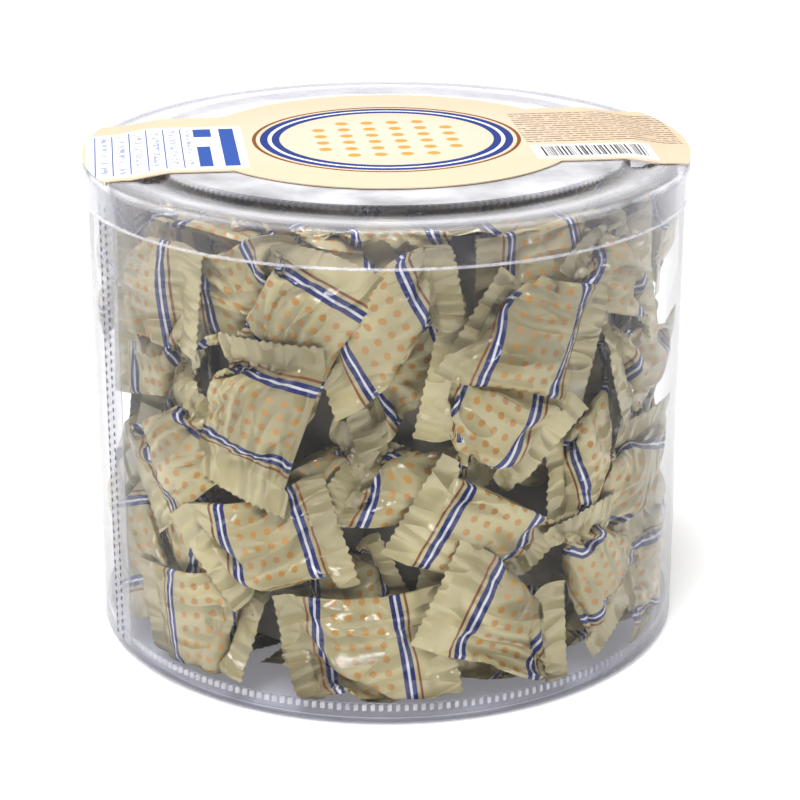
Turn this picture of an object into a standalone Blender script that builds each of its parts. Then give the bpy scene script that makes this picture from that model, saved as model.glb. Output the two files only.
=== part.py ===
"""A clear round tub of flow-wrapped hard caramels, shut by a press-on lid with a printed card.

The pieces are the rolled side wall with its welded lap, the base cap inside its foot, the lid,
the card that runs across the lid, and the heap of wrapped sweets that fills the tub.
The origin is the middle of the underside, +Z is up and -Y faces the viewer. Lengths are metres.
"""
import math
import random

import bmesh
import bpy
import numpy as np
from mathutils import Matrix, Vector, kdtree

MM = 0.001

# Driving dimensions of the tub
TUB_RADIUS = 92.5 * MM
SHOULDER_HEIGHT = 151.8 * MM  # the lid's shoulder above the table
SKIRT_HEIGHT = 11.4 * MM  # the lid's skirt, from its shoulder down
SHEET = 0.5 * MM  # the clear plastic's thickness
GAP = 0.3 * MM  # between pieces that touch
ROUND_STEPS = 40

# The side wall: a rolled sheet, its ends lapped and welded, its foot curled inwards
LAP_ANGLES = (-68.5, -60.0)  # degrees round the tub from the front, right positive
LAP_STEP = 0.4 * MM
FOOT_CURL = 2.0 * MM
FOOT_INNER_RADIUS = 88.6 * MM
WALL_TOP = SHOULDER_HEIGHT - 3.0 * MM

# The base cap: a floor with a flange that stands against the wall
FLANGE_RADIUS = TUB_RADIUS - SHEET - LAP_STEP - 1.3 * GAP
FLANGE_TOP = 6.5 * MM
FLOOR_HEIGHT = 2.7 * MM
RIM_HEIGHT = 1.2 * MM  # the underside of the gutter between flange and floor
GUTTER_RADII = (84.5 * MM, 86.0 * MM)

# The lid: a raised disc, a channel round it, a bead, a rounded shoulder and a skirt
DISC_RADIUS = 75.5 * MM
DISC_RISE = 1.9 * MM
CHANNEL_RADII = (78.0 * MM, 82.5 * MM)
CHANNEL_DEPTH = 0.9 * MM
BEAD_RADIUS = 85.5 * MM
SKIRT_RADIUS = 93.6 * MM
SHOULDER_ROUND = 3.0 * MM
LIP = 0.6 * MM  # how far the skirt's lower edge flares

# The card: a disc with a strap that reaches the lid's edge on both sides
CARD_RADIUS = 59.0 * MM
STRAP_WIDTH = 67.0 * MM
CARD_REACH = 93.3 * MM
CARD_TURN = math.radians(6.7)
CARD_THICKNESS = 0.35 * MM

# One wrapped sweet: a flat pack with sealed ends and a hard sweet in the middle
PACK_LENGTH = 52.0 * MM
PACK_WIDTH = 33.0 * MM
SWEET_HALF = 6.5 * MM  # half the pack's thickness over the sweet
SEAL_HALF = 0.6 * MM  # half its thickness at the sealed ends
SWEET_REACH = 8.0 * MM  # the thick middle's half length
SEAL_START = 19.0 * MM  # where the flat sealed end begins

# Room for the heap
HEAP_RADIUS = 91.1 * MM
FLANGE_CLEAR = (7.2 * MM, 90.0 * MM)  # below this height the heap keeps inside this radius
HEAP_FLOOR = 4.0 * MM
HEAP_CEILING = 147.0 * MM
TOP_REACH = 87.0 * MM
MOST_INSET = 0.5 * MM  # packs end up to this much short of those limits, so none lie level
INSET_STEP = 0.381966
EASE = 5.0 * MM  # where packs begin to bend away from those limits
OVERHANG = 6.0 * MM  # how far a pack's corner may lie past them before it is bent
CORE_RADIUS = 79.0 * MM
CORE_HEIGHTS = (10.0 * MM, 139.0 * MM)
PRESS = 1.0 * MM  # how far packs that touch sink into each other
ROOT_DEPTHS = (2.0 * MM, 20.0 * MM)  # how far a pack reaches into the core, so that it fuses
ROOT_SHARE = 0.9  # the root's length and width as a share of the pack's
FILM_LIFT = 0.5  # how far the sealed ends bend out into free room, as a share of that room
SEAT_SHARE = 0.2  # the share of the sweet's face that may be pressed back by packs in front
LEAST_LISTED = 0.08  # a listed pack is left off if less of it would show
LEAST_SPREAD = 0.3  # the same for the packs that are spread by the rule
FINE_SHARE = 0.8  # a pack of which more shows has its sections at the fine stations
TOUCH = 0.004 * MM  # points of the fused heap as near as this are drawn apart
HAIR = 0.03 * MM  # by this much
CELL = 2.0 * MM
GRID_ALONG = np.linspace(-PACK_LENGTH / 2.0, PACK_LENGTH / 2.0, 33)
GRID_ASIDE = np.linspace(-PACK_WIDTH / 2.0, PACK_WIDTH / 2.0, 21)
FINE_STATIONS = (-SEAL_START, -SWEET_REACH, SWEET_REACH, SEAL_START)
COARSE_STATIONS = (-14.0 * MM, 14.0 * MM)

# The packs seen from the front, outermost first: degrees round the tub from the front, height
# of the middle in mm, and turn of the long side in degrees, anticlockwise from outside.
FRONT_PACKS = [
    (28, 116, 343), (-26, 93, 77), (-24, 48, 199), (24, 29, 154), (47, 37, 299),
    (20, 58, 151), (-40, 20, 185), (-66, 38, 116), (-54, 123, 355), (50, 126, 158),
    (-19, 126, 60), (0, 124, 31), (-33, 122, 18), (19, 91, 145), (-47, 76, 46),
    (61, 58, 249), (64, 92, 350), (-4, 21, 190), (20, 20, 342), (46, 70, 18),
    (3, 108, 26), (5, 70, 344), (49, 84, 180), (-57, 103, 188), (70, 24, 265),
    (-8, 34, 12), (-10, 96, 342), (-57, 90, 10), (-38, 132, 2), (-10, 133, 3),
    (35, 132, 6), (62, 128, 338), (-12, 70, 44), (-47, 54, 150), (8, 40, 80),
]
ROW_HEIGHTS = (22.0 * MM, 128.0 * MM)
BACK_ROWS = 5
BACK_COLUMNS = 8
BACK_SPAN = (86.0, 274.0)  # degrees round the tub that the front list leaves free
INNER_ROWS = 3  # the packs behind the outer ones, all round
INNER_COLUMNS = 9
END_RINGS = ((62.0 * MM, 9), (29.0 * MM, 4), (0.0, 1))  # packs on the heap's top and bottom
END_TURN = 40.0  # how many degrees those packs may lie off their ring's direction
TOP_DROP = 5.0 * MM
SEED = 17


def clear_scene():
    for thing in list(bpy.data.objects):
        bpy.data.objects.remove(thing, do_unlink=True)


def material(name, colour, roughness, alpha=1.0):
    made = bpy.data.materials.new(name)
    made.use_nodes = True
    shader = made.node_tree.nodes["Principled BSDF"]
    shader.inputs["Base Color"].default_value = (*colour, 1.0)
    shader.inputs["Roughness"].default_value = roughness
    shader.inputs["Metallic"].default_value = 0.0
    shader.inputs["Alpha"].default_value = alpha
    return made


def add_object(name, bm, finish=None):
    mesh = bpy.data.meshes.new(name)
    bm.to_mesh(mesh)
    bm.free()
    if finish is not None:
        mesh.materials.append(finish)
    thing = bpy.data.objects.new(name, mesh)
    bpy.context.scene.collection.objects.link(thing)
    return thing


def apply_modifiers(thing):
    """Makes the object's evaluated shape its own mesh."""
    depsgraph = bpy.context.evaluated_depsgraph_get()
    shaped = bpy.data.meshes.new_from_object(thing.evaluated_get(depsgraph))
    thing.modifiers.clear()
    thing.data = shaped


def arc(centre_r, centre_z, radius, start, end, steps):
    """Points of a profile's round stretch, from one angle to another in degrees."""
    angles = [math.radians(start + (end - start) * i / steps) for i in range(steps + 1)]
    return [(centre_r + radius * math.cos(a), centre_z + radius * math.sin(a)) for a in angles]


def turned_sheet(name, profile, finish, thickness=SHEET):
    """Turns a profile, given down its outer side, into a sheet of even thickness."""
    bm = bmesh.new()
    points = [bm.verts.new((r, 0.0, z)) for r, z in profile]
    for upper, lower in zip(points, points[1:]):
        bm.edges.new((upper, lower))
    thing = add_object(name, bm, finish)
    screw = thing.modifiers.new("turn", "SCREW")
    screw.steps = ROUND_STEPS
    screw.render_steps = ROUND_STEPS
    screw.use_merge_vertices = True
    screw.merge_threshold = 0.00001
    screw.use_smooth_shade = True
    sheet = thing.modifiers.new("thickness", "SOLIDIFY")
    sheet.thickness = thickness
    sheet.offset = -1.0
    return thing


def side_wall(finish):
    curl_centre = TUB_RADIUS - FOOT_CURL
    profile = [(TUB_RADIUS, WALL_TOP)]
    profile += arc(curl_centre, FOOT_CURL, FOOT_CURL, 0.0, -90.0, 3)
    profile.append((FOOT_INNER_RADIUS, 0.0))
    wall = turned_sheet("tub_wall", profile, finish)
    lap = wall.modifiers.new("lap", "BOOLEAN")
    lap.operation = "UNION"
    lap.solver = "EXACT"
    lap.object = lap_strip()
    return wall


def lap_strip():
    """The inner end of the rolled sheet, a strip inside the wall from foot to rim."""
    start, end = (math.radians(angle - 90.0) for angle in LAP_ANGLES)
    outer = TUB_RADIUS - SHEET / 2.0
    inner = TUB_RADIUS - SHEET - LAP_STEP
    low, high = FOOT_CURL + 1.0 * MM, WALL_TOP - 1.0 * MM
    bm = bmesh.new()
    corners = [(outer, low), (outer, high), (inner, high), (inner, low)]
    first = [bm.verts.new((r * math.cos(start), r * math.sin(start), z)) for r, z in corners]
    section = bm.faces.new(first)
    bmesh.ops.spin(bm, geom=[section], axis=(0, 0, 1), angle=end - start, steps=2)
    bmesh.ops.recalc_face_normals(bm, faces=bm.faces[:])
    strip = add_object("lap_strip", bm)
    strip.hide_render = True
    strip.display_type = "WIRE"
    return strip


def base_cap(finish):
    corner = 1.5 * MM
    profile = [(FLANGE_RADIUS, FLANGE_TOP)]
    profile += arc(FLANGE_RADIUS - corner, RIM_HEIGHT + corner, corner, 0.0, -90.0, 2)
    profile += [(GUTTER_RADII[1], RIM_HEIGHT), (GUTTER_RADII[0], FLOOR_HEIGHT), (0.0, FLOOR_HEIGHT)]
    return turned_sheet("base_cap", profile, finish)


def lid(finish):
    top = SHOULDER_HEIGHT
    round_centre = SKIRT_RADIUS - SHOULDER_ROUND
    profile = [
        (0.0, top + DISC_RISE),
        (DISC_RADIUS, top + DISC_RISE),
        (DISC_RADIUS + 1.0 * MM, top + DISC_RISE - 0.4 * MM),
        (CHANNEL_RADII[0], top - CHANNEL_DEPTH),
        (CHANNEL_RADII[1], top - CHANNEL_DEPTH),
        (BEAD_RADIUS - 1.5 * MM, top - 0.2 * MM),
        (BEAD_RADIUS, top),
    ]
    profile += arc(round_centre, top - SHOULDER_ROUND, SHOULDER_ROUND, 90.0, 0.0, 2)
    profile += [
        (SKIRT_RADIUS, top - SKIRT_HEIGHT + 1.1 * MM),
        (SKIRT_RADIUS + LIP, top - SKIRT_HEIGHT),
    ]
    return turned_sheet("lid", profile, finish)


def card(finish):
    """The printed card: a thin sheet laid over the lid, cut to a disc with a strap."""
    lift = GAP + CARD_THICKNESS
    top = SHOULDER_HEIGHT
    profile = [
        (0.0, top + DISC_RISE + lift),
        (DISC_RADIUS + 0.3 * MM, top + DISC_RISE + lift),
        (BEAD_RADIUS + 0.5 * MM, top + lift + 0.1 * MM),
        (BEAD_RADIUS + 3.5 * MM, top + lift),
        (CARD_REACH, top + lift - 0.3 * MM),
    ]
    sheet = turned_sheet("label", profile, finish, CARD_THICKNESS)
    cut = sheet.modifiers.new("outline", "BOOLEAN")
    cut.operation = "INTERSECT"
    cut.solver = "EXACT"
    cut.object = card_outline()
    return sheet


def card_outline():
    """A block with the card's outline, for cutting the card out of its sheet."""
    half = STRAP_WIDTH / 2.0
    reach = CARD_REACH + 5.0 * MM
    meet = math.degrees(math.asin(half / CARD_RADIUS))
    outline = [(reach, -half), (reach, half)]
    outline += arc(0.0, 0.0, CARD_RADIUS, meet, 180.0 - meet, 10)
    outline += [(-reach, half), (-reach, -half)]
    outline += arc(0.0, 0.0, CARD_RADIUS, 180.0 + meet, 360.0 - meet, 10)
    bm = bmesh.new()
    low = SHOULDER_HEIGHT - 5.0 * MM
    face = bm.faces.new([bm.verts.new((x, y, low)) for x, y in outline])
    raised = bmesh.ops.extrude_face_region(bm, geom=[face])["geom"]
    corners = [item for item in raised if isinstance(item, bmesh.types.BMVert)]
    bmesh.ops.translate(bm, verts=corners, vec=(0.0, 0.0, 20.0 * MM))
    bmesh.ops.recalc_face_normals(bm, faces=bm.faces[:])
    bmesh.ops.rotate(bm, verts=bm.verts[:], matrix=Matrix.Rotation(CARD_TURN, 3, "Z"))
    block = add_object("card_outline", bm)
    block.hide_render = True
    block.display_type = "WIRE"
    return block


def eased(value, limit):
    """The value, slowed down where it nears the limit so that it never passes it."""
    start = limit - EASE
    past = np.maximum(value - start, 0.0)
    return np.minimum(value, start) + EASE * (1.0 - np.exp(-past / EASE))


class Pack:
    """Where one wrapped sweet lies: on the tub's side, top or bottom, and how it is turned.

    Across and up run over that face as seen from outside, and out is the way towards it.
    """

    def __init__(self, zone, across, up, spin, lean, drop=0.0, least=LEAST_SPREAD):
        self.zone = zone
        self.across = across
        self.up = up
        self.spin = spin
        self.lean = lean
        self.drop = drop
        self.least = least
        self.inset = 0.0

    def spread(self, along, aside):
        """Places on the tub's face of points along and aside of the pack's middle."""
        cosine, sine = math.cos(self.spin), math.sin(self.spin)
        across = self.across + along * cosine - aside * sine
        up = self.up + along * sine + aside * cosine
        if self.zone == "side":
            up = eased(up, HEAP_CEILING - self.inset)
            up = -eased(-up, -HEAP_FLOOR - self.inset)
        else:
            radius = np.maximum(np.hypot(across, up), CELL)
            shrink = eased(radius, TOP_REACH - self.inset) / radius
            across, up = across * shrink, up * shrink
        return across, up

    def world(self, across, up, out):
        if self.zone == "side":
            angle = across / HEAP_RADIUS
            return np.stack([out * np.sin(angle), -out * np.cos(angle), up], axis=-1)
        if self.zone == "top":
            return np.stack([across, up, out], axis=-1)
        return np.stack([across, -up, -out], axis=-1)


def half_thickness(along, aside):
    """Half the pack's thickness at a point: full over the sweet, thin at seals and edges."""
    fade = np.clip((np.abs(along) - SWEET_REACH) / (SEAL_START - SWEET_REACH), 0.0, 1.0)
    lengthwise = 1.0 - fade * fade * (3.0 - 2.0 * fade)
    crosswise = 1.0 - np.clip(np.abs(aside) / (PACK_WIDTH / 2.0), 0.0, 1.0) ** 2.2
    return SEAL_HALF + (SWEET_HALF - SEAL_HALF) * lengthwise * crosswise


def all_packs():
    """Every wrapped sweet that can be seen, the ones nearest the wall first."""
    rng = random.Random(SEED)

    def lean():
        return rng.uniform(-0.10, 0.10), rng.uniform(-0.14, 0.14)

    packs = []
    for angle, height, turn in FRONT_PACKS:
        across = math.radians(angle) * HEAP_RADIUS
        packs.append(Pack("side", across, height * MM, math.radians(turn), lean(),
                          least=LEAST_LISTED))
    for rows, columns, span in ((BACK_ROWS, BACK_COLUMNS, BACK_SPAN),
                                (INNER_ROWS, INNER_COLUMNS, (0.0, 360.0))):
        places = [(row, column) for row in range(rows) for column in range(columns)]
        rng.shuffle(places)
        for row, column in places:
            share = (column + 0.5 * (row % 2) + rng.uniform(0.1, 0.4)) / (columns + 0.5)
            angle = span[0] + (span[1] - span[0]) * share
            height = ROW_HEIGHTS[0] + (ROW_HEIGHTS[1] - ROW_HEIGHTS[0]) * row / (rows - 1)
            packs.append(Pack("side", math.radians(angle) * HEAP_RADIUS,
                              height + rng.uniform(-5.0, 5.0) * MM,
                              rng.uniform(0.0, 2.0 * math.pi), lean()))
    for zone, most_drop in (("top", TOP_DROP), ("bottom", 0.0)):
        for radius, count in END_RINGS:
            start = rng.uniform(0.0, 1.0)
            for i in range(count):
                angle = 2.0 * math.pi * (i + start + rng.uniform(-0.1, 0.1)) / count
                reach = radius + rng.uniform(-3.0, 3.0) * MM
                turn = angle + math.radians(90.0 + rng.uniform(-END_TURN, END_TURN))
                packs.append(Pack(zone, reach * math.cos(angle), reach * math.sin(angle),
                                  turn, lean(), rng.uniform(0.0, most_drop)))
    for number, pack in enumerate(packs):
        pack.inset = (number * INSET_STEP) % 1.0 * MOST_INSET
        if pack.zone == "side":
            half = PACK_LENGTH * abs(math.sin(pack.spin)) + PACK_WIDTH * abs(math.cos(pack.spin))
            room = half / 2.0 - OVERHANG
            pack.up = min(max(pack.up, HEAP_FLOOR + room), HEAP_CEILING - room)
    return packs


def farthest_out(zone, up):
    """How far out the tub lets the heap reach, on its side narrower inside the base's flange."""
    if zone == "side":
        return np.where(up < FLANGE_CLEAR[0], FLANGE_CLEAR[1], HEAP_RADIUS)
    return np.full_like(up, HEAP_CEILING if zone == "top" else -HEAP_FLOOR)


def free_room(zone):
    """The same for each cell of a face, before any pack is in."""
    if zone == "side":
        around = int(round(2.0 * math.pi * HEAP_RADIUS / CELL))
        heights = np.arange(int(HEAP_CEILING / CELL) + 2) * CELL
        return np.repeat(farthest_out(zone, heights)[None, :], around, axis=0)
    size = int(2.0 * TOP_REACH / CELL) + 3
    return farthest_out(zone, np.zeros((size, size)))


def cells_of(zone, across, up, shape):
    if zone == "side":
        return np.round(across / CELL).astype(int) % shape[0], np.round(up / CELL).astype(int)
    middle = shape[0] // 2
    return np.round(across / CELL).astype(int) + middle, np.round(up / CELL).astype(int) + middle


def settle(packs):
    """Slides each pack out until it meets the wall or the packs in front of it.

    The sweet's place comes from the part of it that shows, and the film round it bends out
    into free room or back where there is none. Each pack gets the depth of its middle sheet
    over a grid of points. Packs that are nearly covered by earlier ones are left out.
    """
    rooms = {zone: free_room(zone) for zone in ("side", "top", "bottom")}
    taken = {zone: np.zeros(room.shape, dtype=bool) for zone, room in rooms.items()}
    along, aside = np.meshgrid(GRID_ALONG, GRID_ASIDE, indexing="ij")
    thick = half_thickness(along, aside)
    hard = thick > 0.6 * SWEET_HALF
    lift = FILM_LIFT * (1.0 - np.minimum(thick / (0.6 * SWEET_HALF), 1.0))
    shown = []
    for pack in packs:
        room = rooms[pack.zone]
        across, up = pack.spread(along, aside)
        cells = cells_of(pack.zone, across, up, room.shape)
        pack.share = np.mean(~taken[pack.zone][cells])
        if pack.share < pack.least:
            continue
        limit = np.minimum(room[cells] + PRESS, farthest_out(pack.zone, up) - pack.inset) - thick
        slope = pack.lean[0] * along + pack.lean[1] * aside
        seat = np.quantile((limit - slope)[hard], SEAT_SHARE) - pack.drop
        rest = np.minimum(seat + slope, limit)
        depth = rest + lift * (limit - rest)
        for _ in range(4):
            padded = np.pad(depth, 1, mode="edge")
            near = (padded[:-2, 1:-1] + padded[2:, 1:-1] + padded[1:-1, :-2] + padded[1:-1, 2:]) / 4.0
            depth = np.where(hard, rest, np.minimum(near, limit))
        pack.depth = depth
        np.minimum.at(room, cells, depth - thick)
        taken[pack.zone][cells] = True
        shown.append(pack)
    return shown


def depth_at(pack, along, aside):
    """The depth of the pack's middle sheet between its grid points."""
    i = (along - GRID_ALONG[0]) / (GRID_ALONG[1] - GRID_ALONG[0])
    j = (aside - GRID_ASIDE[0]) / (GRID_ASIDE[1] - GRID_ASIDE[0])
    i0 = np.clip(i.astype(int), 0, len(GRID_ALONG) - 2)
    j0 = np.clip(j.astype(int), 0, len(GRID_ASIDE) - 2)
    s, t = i - i0, j - j0
    near = pack.depth[i0, j0] * (1 - t) + pack.depth[i0, j0 + 1] * t
    far = pack.depth[i0 + 1, j0] * (1 - t) + pack.depth[i0 + 1, j0 + 1] * t
    return near * (1 - s) + far * s


def pack_bar(stations):
    """A bar as long as a pack, six-sided, cut across where the pack's section changes."""
    section = [(-1.0, 0.0), (-ROOT_SHARE, -1.0), (ROOT_SHARE, -1.0), (1.0, 0.0), (0.5, 1.0), (-0.5, 1.0)]
    bm = bmesh.new()
    start = -PACK_LENGTH / 2.0
    end = bm.faces.new([bm.verts.new((start, y, z)) for y, z in section])
    bar = bmesh.ops.extrude_face_region(bm, geom=[end])["geom"]
    corners = [item for item in bar if isinstance(item, bmesh.types.BMVert)]
    bmesh.ops.translate(bm, verts=corners, vec=(PACK_LENGTH, 0.0, 0.0))
    bmesh.ops.recalc_face_normals(bm, faces=bm.faces[:])
    for station in stations:
        everything = bm.verts[:] + bm.edges[:] + bm.faces[:]
        bmesh.ops.bisect_plane(bm, geom=everything, plane_co=(station, 0, 0), plane_no=(1, 0, 0))
    return bm


def core_face(zone):
    return {"side": CORE_RADIUS, "top": CORE_HEIGHTS[1], "bottom": -CORE_HEIGHTS[0]}[zone]


def pack_solid(name, pack, bar, into):
    """Shapes a copy of the bar into one wrapped sweet with a root that reaches into the core."""
    bm = bar.copy()
    points = np.array([vertex.co[:] for vertex in bm.verts])
    side = points[:, 2]
    rooted = side < 0.0
    along = np.where(rooted, ROOT_SHARE, 1.0) * points[:, 0]
    aside = points[:, 1] * PACK_WIDTH / 2.0
    across, up = pack.spread(along, aside)
    out = depth_at(pack, along, aside) + side * half_thickness(along, 0.0)
    out = np.minimum(out, farthest_out(pack.zone, up) - pack.inset)
    root = np.interp(pack.inset, (0.0, MOST_INSET), ROOT_DEPTHS)
    out = np.where(rooted, core_face(pack.zone) - root, out)
    placed = pack.world(across, up, out)
    for vertex, place in zip(bm.verts, placed):
        vertex.co = place
    bmesh.ops.triangulate(bm, faces=bm.faces[:])
    mesh = bpy.data.meshes.new(name)
    bm.to_mesh(mesh)
    bm.free()
    thing = bpy.data.objects.new(name, mesh)
    into.objects.link(thing)


def core(finish):
    """The plain body of the heap that carries the packs that show."""
    bm = bmesh.new()
    low, high = CORE_HEIGHTS
    middle = Matrix.Translation((0.0, 0.0, (low + high) / 2.0))
    bmesh.ops.create_cone(bm, cap_ends=True, segments=32, radius1=CORE_RADIUS,
                          radius2=CORE_RADIUS, depth=high - low, matrix=middle)
    return add_object("candy_heap", bm, finish)


def keep_outer_shell(thing):
    """Fills hollows that fusing sealed and drops loose scraps: only the largest shell stays."""
    bm = bmesh.new()
    bm.from_mesh(thing.data)
    shells = []
    for first in bm.faces:
        if first.tag:
            continue
        first.tag = True
        shell = [first]
        for face in shell:  # the list grows while it is walked
            for edge in face.edges:
                for beside in edge.link_faces:
                    if not beside.tag:
                        beside.tag = True
                        shell.append(beside)
        shells.append(shell)
    shells.sort(key=len, reverse=True)
    spare = [face for shell in shells[1:] for face in shell]
    bmesh.ops.delete(bm, geom=spare, context="FACES")
    loose = [vertex for vertex in bm.verts if not vertex.link_faces]
    bmesh.ops.delete(bm, geom=loose, context="VERTS")
    draw_apart(bm)
    bm.to_mesh(thing.data)
    bm.free()


def draw_apart(bm):
    """Moves points at which the surface touches itself a hair towards their own neighbours."""
    bmesh.ops.dissolve_degenerate(bm, dist=TOUCH, edges=bm.edges[:])
    bmesh.ops.triangulate(bm, faces=bm.faces[:])
    bm.verts.index_update()
    places = kdtree.KDTree(len(bm.verts))
    for vertex in bm.verts:
        places.insert(vertex.co, vertex.index)
    places.balance()
    touching = [vertex for vertex in bm.verts if len(places.find_range(vertex.co, TOUCH)) > 1]
    for vertex in touching:
        neighbours = [edge.other_vert(vertex).co for edge in vertex.link_edges]
        middle = sum(neighbours, Vector()) / len(neighbours)
        vertex.co += (middle - vertex.co).normalized() * HAIR


def candy_heap(finish):
    """The core with the packs that show fused on."""
    packs = settle(all_packs())
    pieces = bpy.data.collections.new("heap_pieces")
    bpy.context.scene.collection.children.link(pieces)
    fine, coarse = pack_bar(FINE_STATIONS), pack_bar(COARSE_STATIONS)
    for number, pack in enumerate(packs):
        bar = fine if pack.share > FINE_SHARE else coarse
        pack_solid(f"pack_{number:03d}", pack, bar, pieces)
    fine.free()
    coarse.free()
    heap = core(finish)
    fuse = heap.modifiers.new("fuse", "BOOLEAN")
    fuse.operation = "UNION"
    fuse.operand_type = "COLLECTION"
    fuse.collection = pieces
    fuse.solver = "MANIFOLD"
    apply_modifiers(heap)
    for piece in list(pieces.objects):
        bpy.data.objects.remove(piece, do_unlink=True)
    bpy.data.collections.remove(pieces)
    keep_outer_shell(heap)
    return heap


def main():
    clear_scene()
    clear_sheet = material("clear_sheet", (0.93, 0.94, 0.96), 0.06, 0.3)
    clear_lid = material("clear_lid", (0.93, 0.94, 0.97), 0.05, 0.3)
    printed_card = material("printed_card", (1.0, 0.84, 0.68), 0.45)
    cream_film = material("cream_film", (0.60, 0.54, 0.36), 0.35)
    side_wall(clear_sheet)
    base_cap(clear_sheet)
    lid(clear_lid)
    card(printed_card)
    candy_heap(cream_film)


main()
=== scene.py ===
# %% [markdown]
# # A clear tub of wrapped hard caramels
# The real object is a round tub rolled from clear plastic sheet, shut by a clear press-on lid
# that a printed card crosses, and filled with hard caramels in flow wrappers. This lesson dresses
# its plain CAD solids: it reads them in, turns fine clear shells, lets each wrapper take its
# creases by simulation, and paints everything with materials made of nodes.

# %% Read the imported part
import math
import random

import bmesh
import bpy
import numpy as np
from mathutils import Matrix, Vector, noise


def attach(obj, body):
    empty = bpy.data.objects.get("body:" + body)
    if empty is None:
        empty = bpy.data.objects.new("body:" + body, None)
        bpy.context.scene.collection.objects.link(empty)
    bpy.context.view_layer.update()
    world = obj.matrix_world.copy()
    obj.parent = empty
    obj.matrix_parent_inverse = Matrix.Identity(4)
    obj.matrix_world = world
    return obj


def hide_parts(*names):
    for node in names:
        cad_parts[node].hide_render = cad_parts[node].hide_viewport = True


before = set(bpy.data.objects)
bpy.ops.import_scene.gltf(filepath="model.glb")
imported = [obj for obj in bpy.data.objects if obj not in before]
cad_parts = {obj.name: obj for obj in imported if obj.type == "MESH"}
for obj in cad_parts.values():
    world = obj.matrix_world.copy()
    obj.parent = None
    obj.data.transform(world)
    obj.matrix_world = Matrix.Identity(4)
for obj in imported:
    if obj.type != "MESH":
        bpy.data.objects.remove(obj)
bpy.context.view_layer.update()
MM = 0.001
print("solids:", sorted(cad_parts))

# %% [markdown]
# ## The tub's measures
# Every piece below is set out from the same few measures as the solids. The sweets need most of
# them, because each one has to lie where its solid lies.

# %% The tub's and the packs' measures
TUB_RADIUS, SHEET, GAP = 92.5 * MM, 0.5 * MM, 0.3 * MM
SHOULDER, SKIRT = 151.8 * MM, 11.4 * MM  # the lid's shoulder, and its skirt's height
LAP_ANGLES, LAP_STEP = (-68.5, -60.0), 0.4 * MM
WALL_TOP = SHOULDER - 3.0 * MM
CARD_TURN = math.radians(6.7)
PACK_LENGTH, PACK_WIDTH = 52.0 * MM, 33.0 * MM
SWEET_HALF, SEAL_HALF, SWEET_REACH, SEAL_START = 6.5 * MM, 0.6 * MM, 8.0 * MM, 19.0 * MM
HEAP_RADIUS, HEAP_FLOOR, HEAP_CEILING, TOP_REACH = 91.1 * MM, 4.0 * MM, 147.0 * MM, 87.0 * MM
print("tub %.0f mm across, packs %.0f x %.0f mm" % (
    2 * TUB_RADIUS / MM, PACK_LENGTH / MM, PACK_WIDTH / MM))

# %% [markdown]
# ## Small helpers
# A finished piece is a mesh at the origin that rides on the frame's one body and takes the place
# of a solid. Clear parts of a tub are round, so a profile spun about the upright axis gives each
# of them. A Solidify modifier then gives the sheet its thickness on the inner side.

# %% Helpers for pieces and turned sheets
def add_piece(name, bm, material, node, smooth=True):
    mesh = bpy.data.meshes.new(name)
    bm.to_mesh(mesh)
    bm.free()
    mesh.materials.append(material)
    mesh.shade_smooth() if smooth else mesh.shade_flat()
    piece = bpy.data.objects.new(name, mesh)
    bpy.context.scene.collection.objects.link(piece)
    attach(piece, "root")
    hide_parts(node)
    print(name, "has", len(mesh.polygons), "faces")
    return piece


def turned(profile, steps):
    """Spins a chain of points, given as radius and height, into a surface that faces outwards."""
    bm = bmesh.new()
    points = [bm.verts.new((radius, 0.0, height)) for radius, height in profile]
    chain = [bm.edges.new(pair) for pair in zip(points, points[1:])]
    bmesh.ops.spin(bm, geom=points + chain, axis=(0, 0, 1), angle=2 * math.pi, steps=steps,
                   use_merge=True)
    bmesh.ops.remove_doubles(bm, verts=bm.verts[:], dist=0.001 * MM)
    bmesh.ops.recalc_face_normals(bm, faces=bm.faces[:])
    bm.faces.ensure_lookup_table()
    widest = max(bm.faces, key=lambda face: face.calc_center_median().xy.length)
    middle = widest.calc_center_median()
    if widest.normal.dot(Vector((middle.x, middle.y, 0.0))) < 0.0:
        bmesh.ops.reverse_faces(bm, faces=bm.faces[:])
    return bm


def arc(centre_r, centre_z, radius, start, end, steps):
    """Points of a round stretch of a profile, from one angle to another in degrees."""
    angles = [math.radians(start + (end - start) * i / steps) for i in range(steps + 1)]
    return [(centre_r + radius * math.cos(a), centre_z + radius * math.sin(a)) for a in angles]


def wall_thickness(piece, thickness):
    sheet = piece.modifiers.new("thickness", "SOLIDIFY")
    sheet.thickness = thickness
    sheet.offset = -1.0


def ribbed(bm, steps, inside, depth):
    """Presses every other column of a turned surface in, where inside(radius, height) holds."""
    for vertex in bm.verts:
        radius = vertex.co.xy.length
        column = round(math.atan2(vertex.co.y, vertex.co.x) / (2 * math.pi) * steps)
        if inside(radius, vertex.co.z) and column % 2:
            vertex.co.xy *= 1.0 - depth / radius


print("helpers ready")

# %% [markdown]
# ## Material tools
# A group is a small machine of nodes that puts out a plain mask, and each material keeps its own
# shader. The soft oval is one. Dots in rows are a function beside it, for the wrappers and the card.

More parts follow.
